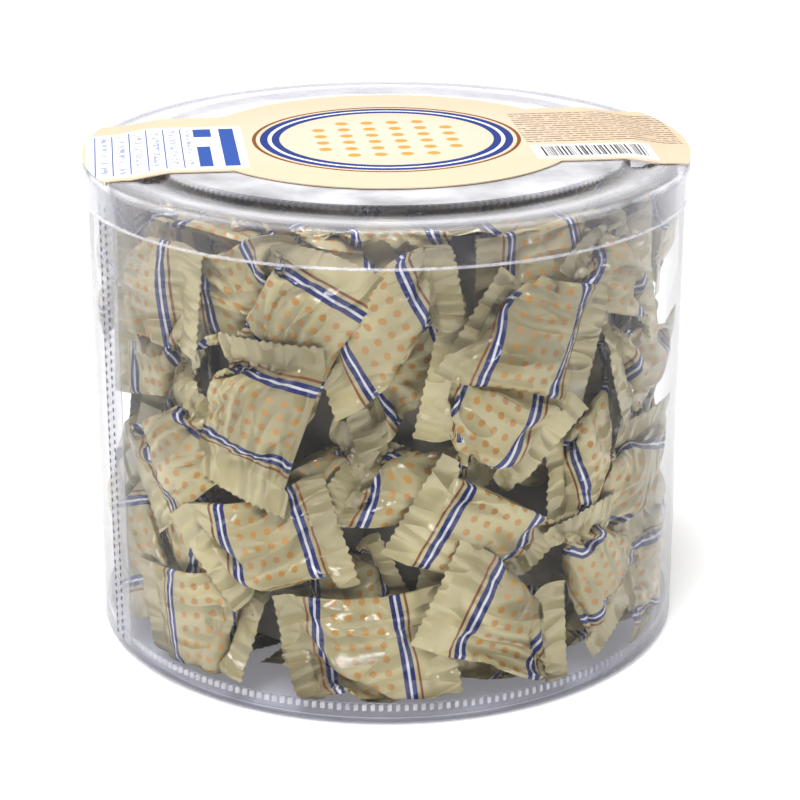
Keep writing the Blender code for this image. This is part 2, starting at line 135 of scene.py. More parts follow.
# %% Node helpers
class Nodes:
    """Adds nodes to a tree and wires them as they are named."""

    def __init__(self, tree):
        self.tree = tree

    def add(self, kind, inputs=None, **settings):
        node = self.tree.nodes.new(kind)
        for key, value in settings.items():
            setattr(node, key, value)
        for key, value in (inputs or {}).items():
            if isinstance(value, bpy.types.NodeSocket):
                self.tree.links.new(value, node.inputs[key])
            else:
                node.inputs[key].default_value = value
        return node

    def math(self, operation, first, second=0.0, third=0.0, clamp=False):
        return self.add("ShaderNodeMath", {0: first, 1: second, 2: third},
                        operation=operation, use_clamp=clamp).outputs[0]

    def times(self, first, second, clamp=False):
        return self.math("MULTIPLY", first, second, clamp=clamp)

    def between(self, value, low, high):
        return self.times(self.math("GREATER_THAN", value, low), self.math("LESS_THAN", value, high))

    def vector(self, operation, *values):
        """Works on vectors: gives a number for a length or a dot product, and else a vector."""
        node = self.add("ShaderNodeVectorMath", dict(enumerate(values)), operation=operation)
        return node.outputs["Value" if operation in ("LENGTH", "DOT_PRODUCT") else 0]

    def noise(self, place, scale, detail):
        return self.add("ShaderNodeTexNoise", {"Vector": place, "Scale": scale,
                                               "Detail": detail}).outputs["Fac"]

    def wire(self, source, target):
        self.tree.links.new(source, target)

    def blend(self, factor, first, second):
        node = self.add("ShaderNodeMix", {"Factor": factor}, data_type="RGBA", blend_type="MIX")
        for socket, value in ((node.inputs[6], first), (node.inputs[7], second)):
            if isinstance(value, bpy.types.NodeSocket):
                self.tree.links.new(value, socket)
            else:
                socket.default_value = (*value, 1.0)
        return node.outputs[2]

    def group(self, tree, **inputs):
        node = self.add("ShaderNodeGroup", node_tree=tree)
        for key, value in inputs.items():
            if isinstance(value, bpy.types.NodeSocket):
                self.tree.links.new(value, node.inputs[key])
            else:
                node.inputs[key].default_value = value
        return node.outputs[0]


def new_group(name, sockets):
    tree = bpy.data.node_groups.new(name, "ShaderNodeTree")
    for label, kind in sockets:
        tree.interface.new_socket(name=label, in_out="INPUT", socket_type=kind)
    tree.interface.new_socket(name="Mask", in_out="OUTPUT", socket_type="NodeSocketFloat")
    nodes = Nodes(tree)
    return nodes, nodes.add("NodeGroupInput").outputs, nodes.add("NodeGroupOutput").inputs[0]


def new_material(name):
    material = bpy.data.materials.new(name)
    material.use_nodes = True
    nodes = Nodes(material.node_tree)
    shader = material.node_tree.nodes["Principled BSDF"]
    return material, nodes, shader


print("node helpers ready")

# %% The oval and the dots
VECTOR, FLOAT = "NodeSocketVector", "NodeSocketFloat"

nodes, given, mask = new_group("oval", [("Place", VECTOR), ("Centre", VECTOR), ("Half", VECTOR),
                                        ("Turn", FLOAT), ("Sharpness", FLOAT)])
offset = nodes.vector("SUBTRACT", given["Place"], given["Centre"])
turn = nodes.add("ShaderNodeVectorRotate", {"Vector": offset, "Angle": given["Turn"]},
                 rotation_type="Z_AXIS").outputs[0]
reach = nodes.vector("LENGTH", nodes.vector("DIVIDE", turn, given["Half"]))
inner = nodes.math("SUBTRACT", 1.0, reach)
nodes.wire(nodes.times(inner, given["Sharpness"], clamp=True), mask)
OVAL = nodes.tree

DOT_REACH = 0.26  # a dot's radius as a share of the step between dots


def ovals_on(nodes, place, usual):
    """A function that puts soft ovals on that map, with the usual sharpness if none is given."""
    def oval(centre, half, turn=0.0, sharpness=usual):
        return nodes.group(OVAL, Place=place, Centre=(*centre, 0.0), Half=(*half, 1.0),
                           Turn=turn, Sharpness=sharpness)
    return oval


def dots_on(nodes, place, step):
    """Rows of round dots on that map, and how far the middle of each dot lies from the map's own."""
    corner = nodes.vector("SNAP", place, (step, step, 1.0))
    middle = nodes.vector("ADD", corner, (step / 2.0, step / 2.0, 0.0))
    reach = nodes.vector("LENGTH", nodes.vector("SUBTRACT", place, middle))
    dots = nodes.times(nodes.math("SUBTRACT", DOT_REACH * step, reach), 6.0, clamp=True)
    return dots, nodes.vector("LENGTH", middle)


print("group:", OVAL.name)

# %% [markdown]
# ## Clear plastic
# Thin clear sheet hides nothing when it is looked at squarely, and turns into a mirror of the
# white studio at a slant. A real glass shader would bend the light twice at each sheet and take
# long to render. So this material lets light straight through and mixes a glossy white in that
# grows with the slant as a mirror does, with a little haze on top. The slant comes from Layer
# Weight, because it reads the same on the sheet's outer and inner side. The light that passes is
# tinted more at a slant, where its way through the sheet is longer. The lid's pressed rings get
# painted light: bands of painted highlight and painted shade by radius, and the highlights
# show at a slant.

# %% Clear plastic materials
RINGS_DOWN_TO = 2.6 * MM  # below the shoulder; the skirt has no rings


def clear_plastic(name, tint, square, slanted, haze, roughness, rings=None, grain=45.0):
    """Square and slanted are the shares of white that it mirrors, seen squarely and at a slant.

    Rings are bands by radius of painted light: a painted highlight above a level of 0.5, painted
    shade below it, where pressed ridges gather light or lose it. Grain is how fine the haze is.
    """
    material, nodes, shader = new_material(name)
    shader.inputs["Base Color"].default_value = (0.88, 0.88, 0.91, 1.0)
    shader.inputs["Roughness"].default_value = roughness
    place = nodes.add("ShaderNodeTexCoord").outputs["Object"]
    dust = nodes.noise(place, grain, 4.0)
    slant = nodes.add("ShaderNodeLayerWeight", {"Blend": 0.5}).outputs["Facing"]
    mirror = nodes.math("MULTIPLY_ADD", nodes.math("POWER", slant, 4.0), slanted, square)
    cover = nodes.math("MULTIPLY_ADD", dust, haze, mirror, clamp=True)
    colour = nodes.blend(nodes.math("POWER", slant, 3.0), tint, [level * 0.8 for level in tint])
    clear = nodes.add("ShaderNodeBsdfTransparent", {"Color": colour}).outputs[0]
    if rings:
        flat = nodes.add("ShaderNodeMapping", {"Vector": place, "Scale": (1.0, 1.0, 0.0)}).outputs[0]
        radius = nodes.vector("LENGTH", flat)
        height = nodes.add("ShaderNodeSeparateXYZ", {0: place}).outputs["Z"]
        top = nodes.math("GREATER_THAN", height, SHOULDER - RINGS_DOWN_TO)
        first, last = rings[0][0], rings[-1][0]
        along = nodes.add("ShaderNodeMapRange", {0: radius, 1: first, 2: last,
                                                 3: 0.0, 4: 1.0}).outputs[0]
        ramp = nodes.add("ShaderNodeValToRGB", {0: along})
        span = last - first
        while len(ramp.color_ramp.elements) < len(rings):
            ramp.color_ramp.elements.new(0.5)
        for element, (at, level) in zip(ramp.color_ramp.elements, rings):
            element.position = (at - first) / span
            element.color = (level, level, level, 1.0)
        # Painted light by radius: levels above 0.5 give a painted highlight, levels below give painted
        # shade.
        level = nodes.math("SUBTRACT", ramp.outputs[0], 0.5)
        painted_ring_highlight = nodes.times(nodes.times(level, 1.6, clamp=True), top)
        painted_ring_highlight = nodes.times(painted_ring_highlight, nodes.math("MULTIPLY_ADD", dust, 2.4, -0.2))
        painted_ring_highlight = nodes.times(painted_ring_highlight, nodes.times(slant, 1.9, clamp=True))
        cover = nodes.math("MAXIMUM", cover, painted_ring_highlight)
        painted_ring_shade = nodes.times(nodes.times(level, -2.0, clamp=True), top)
        nodes.wire(nodes.blend(painted_ring_shade, colour, (0.45, 0.45, 0.52)), clear.node.inputs["Color"])
    mixed = nodes.add("ShaderNodeMixShader", {0: cover, 1: clear, 2: shader.outputs[0]}).outputs[0]
    nodes.wire(mixed, nodes.tree.nodes["Material Output"].inputs[0])
    return material


# Levels above 0.5 are painted highlight and levels below are painted shade; the flat disc inside the
# knurls gets painted highlight too.
LID_RINGS = (  # radius and level
    (56 * MM, 0.8), (74.4 * MM, 0.8), (75.3 * MM, 0.75), (76.0 * MM, 0.42), (78.2 * MM, 0.62),
    (79 * MM, 0.52), (83.2 * MM, 0.52), (84.6 * MM, 0.78), (86.2 * MM, 0.72), (87.4 * MM, 0.5),
    (88.4 * MM, 0.25), (90.6 * MM, 0.28), (91.6 * MM, 0.55), (92.6 * MM, 0.75), (93.5 * MM, 0.6))
clear_sheet = clear_plastic("clear_sheet", (0.985, 0.985, 0.99), 0.008, 0.5, 0.004, 0.07)
clear_lid = clear_plastic("clear_lid", (0.955, 0.955, 0.975), 0.01, 0.9, 0.01, 0.06, LID_RINGS)
# lid_rim: a dense white haze that paints a highlight along the lid's lip.
lid_rim = clear_plastic("lid_rim", (0.88, 0.88, 0.92), 0.0, 0.9, 0.45, 0.12, grain=350.0)
foot_sheet = clear_plastic("foot_sheet", (0.86, 0.86, 0.895), 0.02, 0.6, 0.06, 0.1)
# rib_glint: a dense white haze that paints glints on one flank of each rib.
rib_glint = clear_plastic("rib_glint", (0.9, 0.9, 0.92), 0.0, 0.9, 0.75, 0.12, grain=160.0)
lap_sheet = clear_plastic("lap_sheet", (0.93, 0.935, 0.955), 0.04, 0.5, 0.12, 0.15)
weld_mark = clear_plastic("weld_mark", (0.4, 0.4, 0.46), 0.02, 0.5, 0.05, 0.15)
sheet_edge = clear_plastic("sheet_edge", (0.62, 0.62, 0.66), 0.04, 0.9, 0.1, 0.15)
print("clear materials ready")

# %% [markdown]
# ## The side wall
# The wall is one sheet rolled into a tube, with its two ends lapped and welded. Its foot is
# curled inwards to hold the floor. The tube is a spun profile. The lap is a second thin strip
# inside it, and the weld shows as two columns of tiny raised dashes.

# %% Side wall, lap and weld
FOOT_CURL, FOOT_INNER, FOOT_TOP = 2.0 * MM, 88.6 * MM, 1.5 * MM
profile = [(TUB_RADIUS, WALL_TOP), (TUB_RADIUS, 75.0 * MM)]
profile += arc(TUB_RADIUS - FOOT_CURL, FOOT_CURL, FOOT_CURL, 0.0, -90.0, 8)
profile.append((FOOT_INNER, 0.0))
wall = add_piece("tub_wall_clear", turned(profile, 240), clear_sheet, "tub_wall")
wall.data.materials.append(foot_sheet)
for face in wall.data.polygons:
    face.material_index = int(face.center.z < FOOT_TOP)
wall_thickness(wall, SHEET)


def lap_strip():
    start, end = (math.radians(angle - 90.0) for angle in LAP_ANGLES)
    outer, inner = TUB_RADIUS - SHEET, TUB_RADIUS - SHEET - LAP_STEP
    low, high = FOOT_CURL + 1.0 * MM, WALL_TOP - 1.0 * MM
    bm = bmesh.new()
    corners = [(outer, low), (outer, high), (inner, high), (inner, low)]
    section = bm.faces.new([bm.verts.new((r * math.cos(start), r * math.sin(start), z))
                            for r, z in corners])
    bmesh.ops.spin(bm, geom=[section], axis=(0, 0, 1), angle=end - start, steps=8)
    bmesh.ops.recalc_face_normals(bm, faces=bm.faces[:])
    return bm


lap = add_piece("wall_lap", lap_strip(), lap_sheet, "tub_wall", smooth=False)
lap.data.materials.append(sheet_edge)
for face in lap.data.polygons:  # the strip's two upright edges show as thin lines
    outward = face.normal.xy.normalized().dot(face.center.xy.normalized())
    face.material_index = int(abs(face.normal.z) < 0.5 and abs(outward) < 0.5)

WELD_ANGLES, DASH = (-63.5, -66.5), (0.9 * MM, 0.3 * MM, 1.3 * MM)
DASH_PITCH = 2.6 * MM


def weld_dashes():
    bm = bmesh.new()
    for angle in WELD_ANGLES:
        turn = Matrix.Rotation(math.radians(angle), 4, "Z")
        for step in range(int((WALL_TOP - 8 * MM) / DASH_PITCH)):
            place = Matrix.Translation((0, -TUB_RADIUS, 5 * MM + step * DASH_PITCH))
            bmesh.ops.create_cube(bm, size=1.0, matrix=turn @ place @ Matrix.Diagonal((*DASH, 1.0)))
    bmesh.ops.bevel(bm, geom=bm.edges[:], offset=0.08 * MM, affect="EDGES", segments=1,
                    profile=0.5, material=-1)
    return bm


add_piece("weld_dashes", weld_dashes(), weld_mark, "tub_wall")

# %% [markdown]
# ## The base cap
# A pressed floor stands inside the wall's foot. Its upright flange carries a band of fine ribs
# that sparkle all round the tub. The ribs are in the mesh: every other column of the spun flange
# is pressed in a little, because a bump alone would leave the band's outline smooth. Every other
# column also gets painted glints, a whiter and hazier plastic, which add to the sparkle.

# %% Base cap with its ribbed flange
RIBS, RIB_DEPTH = 228, 0.5 * MM
FLANGE_RADIUS, FLANGE_TOP = TUB_RADIUS - SHEET - LAP_STEP - 1.3 * GAP, 6.5 * MM
FLOOR_HEIGHT, RIM_HEIGHT = 2.7 * MM, 1.2 * MM
profile = [(FLANGE_RADIUS, FLANGE_TOP), (FLANGE_RADIUS, 6.1 * MM), (FLANGE_RADIUS, 4.2 * MM)]
profile += arc(FLANGE_RADIUS - 1.5 * MM, RIM_HEIGHT + 1.5 * MM, 1.5 * MM, 0.0, -90.0, 6)
profile += [(86.0 * MM, RIM_HEIGHT), (84.5 * MM, FLOOR_HEIGHT), (60.0 * MM, FLOOR_HEIGHT),
            (0.0, FLOOR_HEIGHT)]
shell = turned(profile, 2 * RIBS)
ribbed(shell, 2 * RIBS,
       lambda radius, height: 4.0 * MM < height < 6.3 * MM and radius > 90 * MM, RIB_DEPTH)
base = add_piece("base_cap_ribbed", shell, foot_sheet, "base_cap")
base.data.materials.append(rib_glint)
# Painted glints: one flank of each rib gets the rib_glint plastic.
for face in base.data.polygons:  # one flank of each rib catches the light
    column = math.floor(math.atan2(face.center.y, face.center.x) / (2 * math.pi) * 2 * RIBS)
    face.material_index = int(3.5 * MM < face.center.z < 6.0 * MM and column % 2 == 0)
wall_thickness(base, SHEET)

# %% [markdown]
# ## The lid
# The lid is pressed from one sheet: a raised disc with a knurled step round it, a channel, a
# bead, a rounded shoulder, and a skirt that snaps over the wall. It is spun like the wall, and
# its knurls are made like the ribs.

# %% Lid
KNURLS, KNURL_BAND, KNURL_DEPTH = 220, (75.2 * MM, 77.6 * MM), 0.45 * MM
# The lip band carries a painted highlight, drawn with the lid_rim plastic.
LIP_BAND = 0.5 * MM  # the skirt's lowest part, which looks milky
DISC_RADIUS, DISC_RISE, CHANNEL = 75.5 * MM, 1.9 * MM, 0.9 * MM
BEAD_RADIUS, SKIRT_RADIUS, SHOULDER_ROUND, LIP = 85.5 * MM, 93.6 * MM, 3.0 * MM, 0.6 * MM
profile = [(0.0, SHOULDER + DISC_RISE), (40 * MM, SHOULDER + DISC_RISE),
           (DISC_RADIUS - 0.6 * MM, SHOULDER + DISC_RISE)]
profile += arc(DISC_RADIUS - 0.6 * MM, SHOULDER + DISC_RISE - 0.8 * MM, 0.8 * MM, 75.0, 15.0, 3)
profile += [(77.2 * MM, SHOULDER - 0.2 * MM), (78.0 * MM, SHOULDER - CHANNEL)]
profile += [(82.5 * MM, SHOULDER - CHANNEL), (84.0 * MM, SHOULDER - 0.2 * MM), (BEAD_RADIUS, SHOULDER)]
profile += arc(SKIRT_RADIUS - SHOULDER_ROUND, SHOULDER - SHOULDER_ROUND, SHOULDER_ROUND, 90.0, 0.0, 8)
profile += [(SKIRT_RADIUS, SHOULDER - SKIRT + 1.1 * MM),
            (SKIRT_RADIUS + 0.2 * MM, SHOULDER - SKIRT + 0.7 * MM),
            (SKIRT_RADIUS + LIP, SHOULDER - SKIRT)]
shell = turned(profile, 2 * KNURLS)
ribbed(shell, 2 * KNURLS,
       lambda radius, height: KNURL_BAND[0] < radius < KNURL_BAND[1], KNURL_DEPTH)
lid = add_piece("lid_clear", shell, clear_lid, "lid")
lid.data.materials.append(lid_rim)
for face in lid.data.polygons:
    face.material_index = int(face.center.z < SHOULDER - SKIRT + LIP_BAND)
wall_thickness(lid, SHEET)

# %% [markdown]
# ## The card on the lid
# A printed card lies over the lid: a disc with a strap that reaches the edge on both sides. It
# follows the lid's relief, so it is a spun sheet, cut to its outline by a block with a Boolean
# modifier, as scissors would cut it.

# %% Card
CARD_RADIUS, STRAP, CARD_REACH, CARD_THICKNESS = 59.0 * MM, 67.0 * MM, 93.3 * MM, 0.35 * MM
lift = GAP + CARD_THICKNESS


def card_sheet():
    top = SHOULDER + lift
    bm = turned([(CARD_REACH, top - 0.3 * MM), (89.0 * MM, top), (86.0 * MM, top + 0.1 * MM),
                 (75.8 * MM, top + DISC_RISE), (0.0, top + DISC_RISE)], 192)
    if sum(face.normal.z for face in bm.faces) < 0.0:
        bmesh.ops.reverse_faces(bm, faces=bm.faces[:])
    bmesh.ops.solidify(bm, geom=bm.faces[:], thickness=CARD_THICKNESS)
    return bm


def card_cutter():
    half, reach = STRAP / 2.0, CARD_REACH + 5.0 * MM
    meet = math.degrees(math.asin(half / CARD_RADIUS))
    outline = [(reach, -half), (reach, half)] + arc(0.0, 0.0, CARD_RADIUS, meet, 180.0 - meet, 48)
    outline += [(-reach, half), (-reach, -half)]
    outline += arc(0.0, 0.0, CARD_RADIUS, 180.0 + meet, 360.0 - meet, 48)
    bm = bmesh.new()
    face = bm.faces.new([bm.verts.new((x, y, SHOULDER - 5.0 * MM)) for x, y in outline])
    raised = bmesh.ops.extrude_face_region(bm, geom=[face])["geom"]
    corners = [item for item in raised if isinstance(item, bmesh.types.BMVert)]
    bmesh.ops.translate(bm, verts=corners, vec=(0.0, 0.0, 20.0 * MM))
    bmesh.ops.recalc_face_normals(bm, faces=bm.faces[:])
    bmesh.ops.rotate(bm, verts=bm.verts[:], matrix=Matrix.Rotation(CARD_TURN, 3, "Z"))
    return bm


def cut_to(bm, cutter):
    """The first shape's part inside the second, as a new bmesh."""
    things = []
    for name, shape in (("cut_sheet", bm), ("cut_block", cutter)):
        mesh = bpy.data.meshes.new(name)
        shape.to_mesh(mesh)
        shape.free()
        things.append(bpy.data.objects.new(name, mesh))
        bpy.context.scene.collection.objects.link(things[-1])
    cut = things[0].modifiers.new("outline", "BOOLEAN")
    cut.operation, cut.solver, cut.object = "INTERSECT", "EXACT", things[1]
    depsgraph = bpy.context.evaluated_depsgraph_get()
    shaped = bmesh.new()
    shaped.from_mesh(things[0].evaluated_get(depsgraph).data)
    for thing in things:
        bpy.data.objects.remove(thing, do_unlink=True)
    return shaped


# %% [markdown]
# The card's print is laid out in millimetres on the card's own axes: a peach ground, a whiter
# middle with rings round rows of dots, a table of bars on the left strap, and rows of fine marks
# and a box of bars on the right strap.

# %% Card material
def printed_card_material():
    material, nodes, shader = new_material("printed_card")
    coords = nodes.add("ShaderNodeTexCoord").outputs["Object"]
    place = nodes.add("ShaderNodeMapping", {"Vector": coords, "Rotation": (0.0, 0.0, -CARD_TURN),
                                            "Scale": (1000.0, 1000.0, 0.0)}).outputs[0]
    x, y, _ = nodes.add("ShaderNodeSeparateXYZ", {0: place}).outputs
    oval = ovals_on(nodes, place, 8.0)

    def box(x0, x1, y0, y1):
        return nodes.times(nodes.between(x, x0, x1), nodes.between(y, y0, y1))

    colour = nodes.blend(oval((0.0, 2.0), (58.0, 46.0), 0.0, 1.6),
                         (0.65, 0.51, 0.365), (0.67, 0.56, 0.445))
    # The middle: a blue ring with a white line in it, a brown ring, and rows of dots inside
    out = nodes.vector("LENGTH", place)
    colour = nodes.blend(nodes.between(out, 33.0, 39.0), colour, (0.02, 0.04, 0.19))
    colour = nodes.blend(nodes.between(out, 35.4, 36.6), colour, (0.78, 0.78, 0.80))
    colour = nodes.blend(nodes.between(out, 40.2, 41.4), colour, (0.20, 0.07, 0.018))
    dots, dot_out = dots_on(nodes, place, 8.0)
    dots = nodes.times(dots, nodes.math("LESS_THAN", dot_out, 28.0))
    colour = nodes.blend(dots, colour, (0.58, 0.29, 0.055))
    # The left strap: a white table with bars
    table = box(-92.0, -44.0, -31.0, 21.0)
    colour = nodes.blend(table, colour, (0.74, 0.74, 0.73))
    rows = nodes.math("FRACT", nodes.times(x, 0.19))
    ruled = nodes.times(nodes.between(rows, 0.0, 0.07), box(-90.0, -60.0, -29.0, 19.0))
    marks = nodes.noise(place, 0.55, 1.0)
    flecks = nodes.times(nodes.math("GREATER_THAN", marks, 0.52), nodes.between(rows, 0.35, 0.75))
    flecks = nodes.times(flecks, box(-90.0, -60.0, -28.0, 17.0))
    heads = nodes.math("MAXIMUM", box(-51.0, -46.5, -28.0, 18.0), box(-58.5, -54.5, -28.0, -4.0))
    heads = nodes.math("MAXIMUM", heads, box(-59.0, -53.5, 8.0, 18.0))
    navy = nodes.math("MAXIMUM", nodes.math("MAXIMUM", ruled, nodes.times(flecks, 0.6)), heads)
    colour = nodes.blend(navy, colour, (0.03, 0.08, 0.32))
    # The right strap: rows of fine marks, and a white box of bars
    lines = nodes.math("FRACT", nodes.times(y, 0.36))
    words = nodes.noise(place, 0.8, 1.0)
    script = nodes.times(nodes.math("GREATER_THAN", words, 0.42), nodes.between(lines, 0.25, 0.65))
    script = nodes.times(script, box(42.0, 91.0, -11.0, 27.0))
    colour = nodes.blend(nodes.times(script, 0.85), colour, (0.10, 0.07, 0.06))
    colour = nodes.blend(box(42.0, 79.0, -31.0, -14.5), colour, (0.74, 0.74, 0.73))
    columns = nodes.add("ShaderNodeTexNoise", {"W": nodes.times(x, 1.6), "Scale": 1.0,
                                               "Detail": 0.0}, noise_dimensions="1D").outputs["Fac"]
    bars = nodes.times(nodes.math("GREATER_THAN", columns, 0.5), box(45.0, 76.5, -28.0, -16.5))
    colour = nodes.blend(bars, colour, (0.02, 0.02, 0.02))
    nodes.wire(colour, shader.inputs["Base Color"])
    shader.inputs["Roughness"].default_value = 0.42
    grain = nodes.noise(coords, 900.0, 3.0)
    bump = nodes.add("ShaderNodeBump", {"Height": grain, "Strength": 0.15,
                                        "Distance": 0.0002}).outputs[0]
    nodes.wire(bump, shader.inputs["Normal"])
    return material


printed_card = printed_card_material()
add_piece("card_printed", cut_to(card_sheet(), card_cutter()), printed_card, "label",
          smooth=False)

# %% [markdown]
# ## Where the wrapped sweets lie
# In the tub the sweets lie as they fell, but the ones at the front are placed one by one, each by
# its angle round the tub, its height and its turn. The rest follow a seeded rule. Each pack then
# slides out until it meets the wall or the packs in front of it, so that nothing cuts through.
# The rule is the one that placed the solids, so each solid pack has its wrapper here. The
# wrappers are more than the solids: spread packs are kept from a tenth showing on, where the
# solids ask for three tenths, and fifty more are tried in the shade behind, because the gaps
# between real sweets show sweets.

# %% The list of packs
FLANGE_CLEAR = (7.2 * MM, 90.0 * MM)
MOST_INSET, INSET_STEP, EASE, OVERHANG = 0.5 * MM, 0.381966, 5.0 * MM, 6.0 * MM
PRESS, FILM_LIFT, SEAT_SHARE, CELL = 1.0 * MM, 0.5, 0.2, 2.0 * MM
LEAST_LISTED, LEAST_SPREAD, LEAST_DEEP = 0.08, 0.1, 0.02  # a pack is left out if less shows
GRID_ALONG = np.linspace(-PACK_LENGTH / 2.0, PACK_LENGTH / 2.0, 33)
GRID_ASIDE = np.linspace(-PACK_WIDTH / 2.0, PACK_WIDTH / 2.0, 21)
FRONT_PACKS = [  # angle round the tub from the front, height in millimetres, turn
    (28, 116, 343), (-26, 93, 77), (-24, 48, 199), (24, 29, 154), (47, 37, 299),
    (20, 58, 151), (-40, 20, 185), (-66, 38, 116), (-54, 123, 355), (50, 126, 158),
    (-19, 126, 60), (0, 124, 31), (-33, 122, 18), (19, 91, 145), (-47, 76, 46),
    (61, 58, 249), (64, 92, 350), (-4, 21, 190), (20, 20, 342), (46, 70, 18),
    (3, 108, 26), (5, 70, 344), (49, 84, 180), (-57, 103, 188), (70, 24, 265),
    (-8, 34, 12), (-10, 96, 342), (-57, 90, 10), (-38, 132, 2), (-10, 133, 3),
    (35, 132, 6), (62, 128, 338), (-12, 70, 44), (-47, 54, 150), (8, 40, 80),
]
PLAIN_ONES = ((3, 108), (-12, 70), (-47, 54), (46, 70))  # these show the back of their wrapper
ROW_HEIGHTS, BACK_SPAN = (22.0 * MM, 128.0 * MM), (86.0, 274.0)
DEEP_ROWS, DEEP_COLUMNS, DEEP_RADIUS = 5, 10, 81.0 * MM  # the packs in the shade behind all others
END_RINGS, END_TURN, TOP_DROP, SEED = ((62.0 * MM, 9), (29.0 * MM, 4), (0.0, 1)), 40.0, 5.0 * MM, 17


def eased(value, limit):
    """The value, slowed down where it nears the limit so that it never passes it."""
    start = limit - EASE
    past = np.maximum(value - start, 0.0)
    return np.minimum(value, start) + EASE * (1.0 - np.exp(-past / EASE))


class Pack:
    """Where one wrapped sweet lies: on the tub's side, top or bottom, and how it is turned."""

    def __init__(self, zone, across, up, spin, lean, drop=0.0):
        self.zone, self.across, self.up, self.spin = zone, across, up, spin
        self.lean, self.drop, self.inset, self.deep, self.plain = lean, drop, 0.0, False, False
        self.least = LEAST_SPREAD

    def spread(self, along, aside):
        cosine, sine = math.cos(self.spin), math.sin(self.spin)
        across = self.across + along * cosine - aside * sine
        up = self.up + along * sine + aside * cosine
        if self.zone == "side":
            up = eased(up, HEAP_CEILING - self.inset)
            up = -eased(-up, -HEAP_FLOOR - self.inset)
        else:
            radius = np.maximum(np.hypot(across, up), CELL)
            shrink = eased(radius, TOP_REACH - self.inset) / radius
            across, up = across * shrink, up * shrink
        return across, up

    def world(self, across, up, out):
        if self.zone == "side":
            angle = across / HEAP_RADIUS
            return np.stack([out * np.sin(angle), -out * np.cos(angle), up], axis=-1)
        if self.zone == "top":
            return np.stack([across, up, out], axis=-1)
        return np.stack([across, -up, -out], axis=-1)


def all_packs():
    rng = random.Random(SEED)

    def lean():
        return rng.uniform(-0.10, 0.10), rng.uniform(-0.14, 0.14)

    packs = []
    for angle, height, turn in FRONT_PACKS:
        packs.append(Pack("side", math.radians(angle) * HEAP_RADIUS, height * MM,
                          math.radians(turn), lean()))
        packs[-1].plain = (angle, height) in PLAIN_ONES
        packs[-1].least = LEAST_LISTED
    for rows, columns, span in ((5, 8, BACK_SPAN), (3, 9, (0.0, 360.0))):
        places = [(row, column) for row in range(rows) for column in range(columns)]
        rng.shuffle(places)
        for row, column in places:
            share = (column + 0.5 * (row % 2) + rng.uniform(0.1, 0.4)) / (columns + 0.5)
            angle = span[0] + (span[1] - span[0]) * share
            height = ROW_HEIGHTS[0] + (ROW_HEIGHTS[1] - ROW_HEIGHTS[0]) * row / (rows - 1)
            packs.append(Pack("side", math.radians(angle) * HEAP_RADIUS,
                              height + rng.uniform(-5.0, 5.0) * MM,
                              rng.uniform(0.0, 2.0 * math.pi), lean()))
    for zone, most_drop in (("top", TOP_DROP), ("bottom", 0.0)):
        for radius, count in END_RINGS:
            start = rng.uniform(0.0, 1.0)
            for i in range(count):
                angle = 2.0 * math.pi * (i + start + rng.uniform(-0.1, 0.1)) / count
                reach = radius + rng.uniform(-3.0, 3.0) * MM
                turn = angle + math.radians(90.0 + rng.uniform(-END_TURN, END_TURN))
                packs.append(Pack(zone, reach * math.cos(angle), reach * math.sin(angle),
                                  turn, lean(), rng.uniform(0.0, most_drop)))
    for row in range(DEEP_ROWS):
        for place in range(DEEP_COLUMNS):
            angle = 2.0 * math.pi * (place + 0.5 * (row % 2) + rng.uniform(-0.2, 0.2)) / DEEP_COLUMNS
            height = 18.0 * MM + 114.0 * MM * row / (DEEP_ROWS - 1) + rng.uniform(-4.0, 4.0) * MM
            packs.append(Pack("side", angle * HEAP_RADIUS, height,
                              rng.uniform(0.0, 2.0 * math.pi), lean()))
            packs[-1].drop = rng.uniform(0.0, 3.0) * MM
            packs[-1].deep, packs[-1].least = True, LEAST_DEEP
    for number, pack in enumerate(packs):
        pack.inset = (number * INSET_STEP) % 1.0 * MOST_INSET
        if pack.zone == "side":
            half = PACK_LENGTH * abs(math.sin(pack.spin)) + PACK_WIDTH * abs(math.cos(pack.spin))
            room = half / 2.0 - OVERHANG
            pack.up = min(max(pack.up, HEAP_FLOOR + room), HEAP_CEILING - room)
    return packs


print("packs placed by hand:", len(FRONT_PACKS))

# %% Sliding the packs into place
def half_thickness(along, aside):
    fade = np.clip((np.abs(along) - SWEET_REACH) / (SEAL_START - SWEET_REACH), 0.0, 1.0)
    lengthwise = 1.0 - fade * fade * (3.0 - 2.0 * fade)
    crosswise = 1.0 - np.clip(np.abs(aside) / (PACK_WIDTH / 2.0), 0.0, 1.0) ** 2.2
    return SEAL_HALF + (SWEET_HALF - SEAL_HALF) * lengthwise * crosswise


def farthest_out(zone, up):
    if zone == "side":
        return np.where(up < FLANGE_CLEAR[0], FLANGE_CLEAR[1], HEAP_RADIUS)
    return np.full_like(up, HEAP_CEILING if zone == "top" else -HEAP_FLOOR)


def free_room(zone):
    if zone == "side":
        around = int(round(2.0 * math.pi * HEAP_RADIUS / CELL))
        heights = np.arange(int(HEAP_CEILING / CELL) + 2) * CELL
        return np.repeat(farthest_out(zone, heights)[None, :], around, axis=0)
    size = int(2.0 * TOP_REACH / CELL) + 3
    return farthest_out(zone, np.zeros((size, size)))


def cells_of(zone, across, up, shape):
    if zone == "side":
        return np.round(across / CELL).astype(int) % shape[0], np.round(up / CELL).astype(int)
    middle = shape[0] // 2
    return np.round(across / CELL).astype(int) + middle, np.round(up / CELL).astype(int) + middle


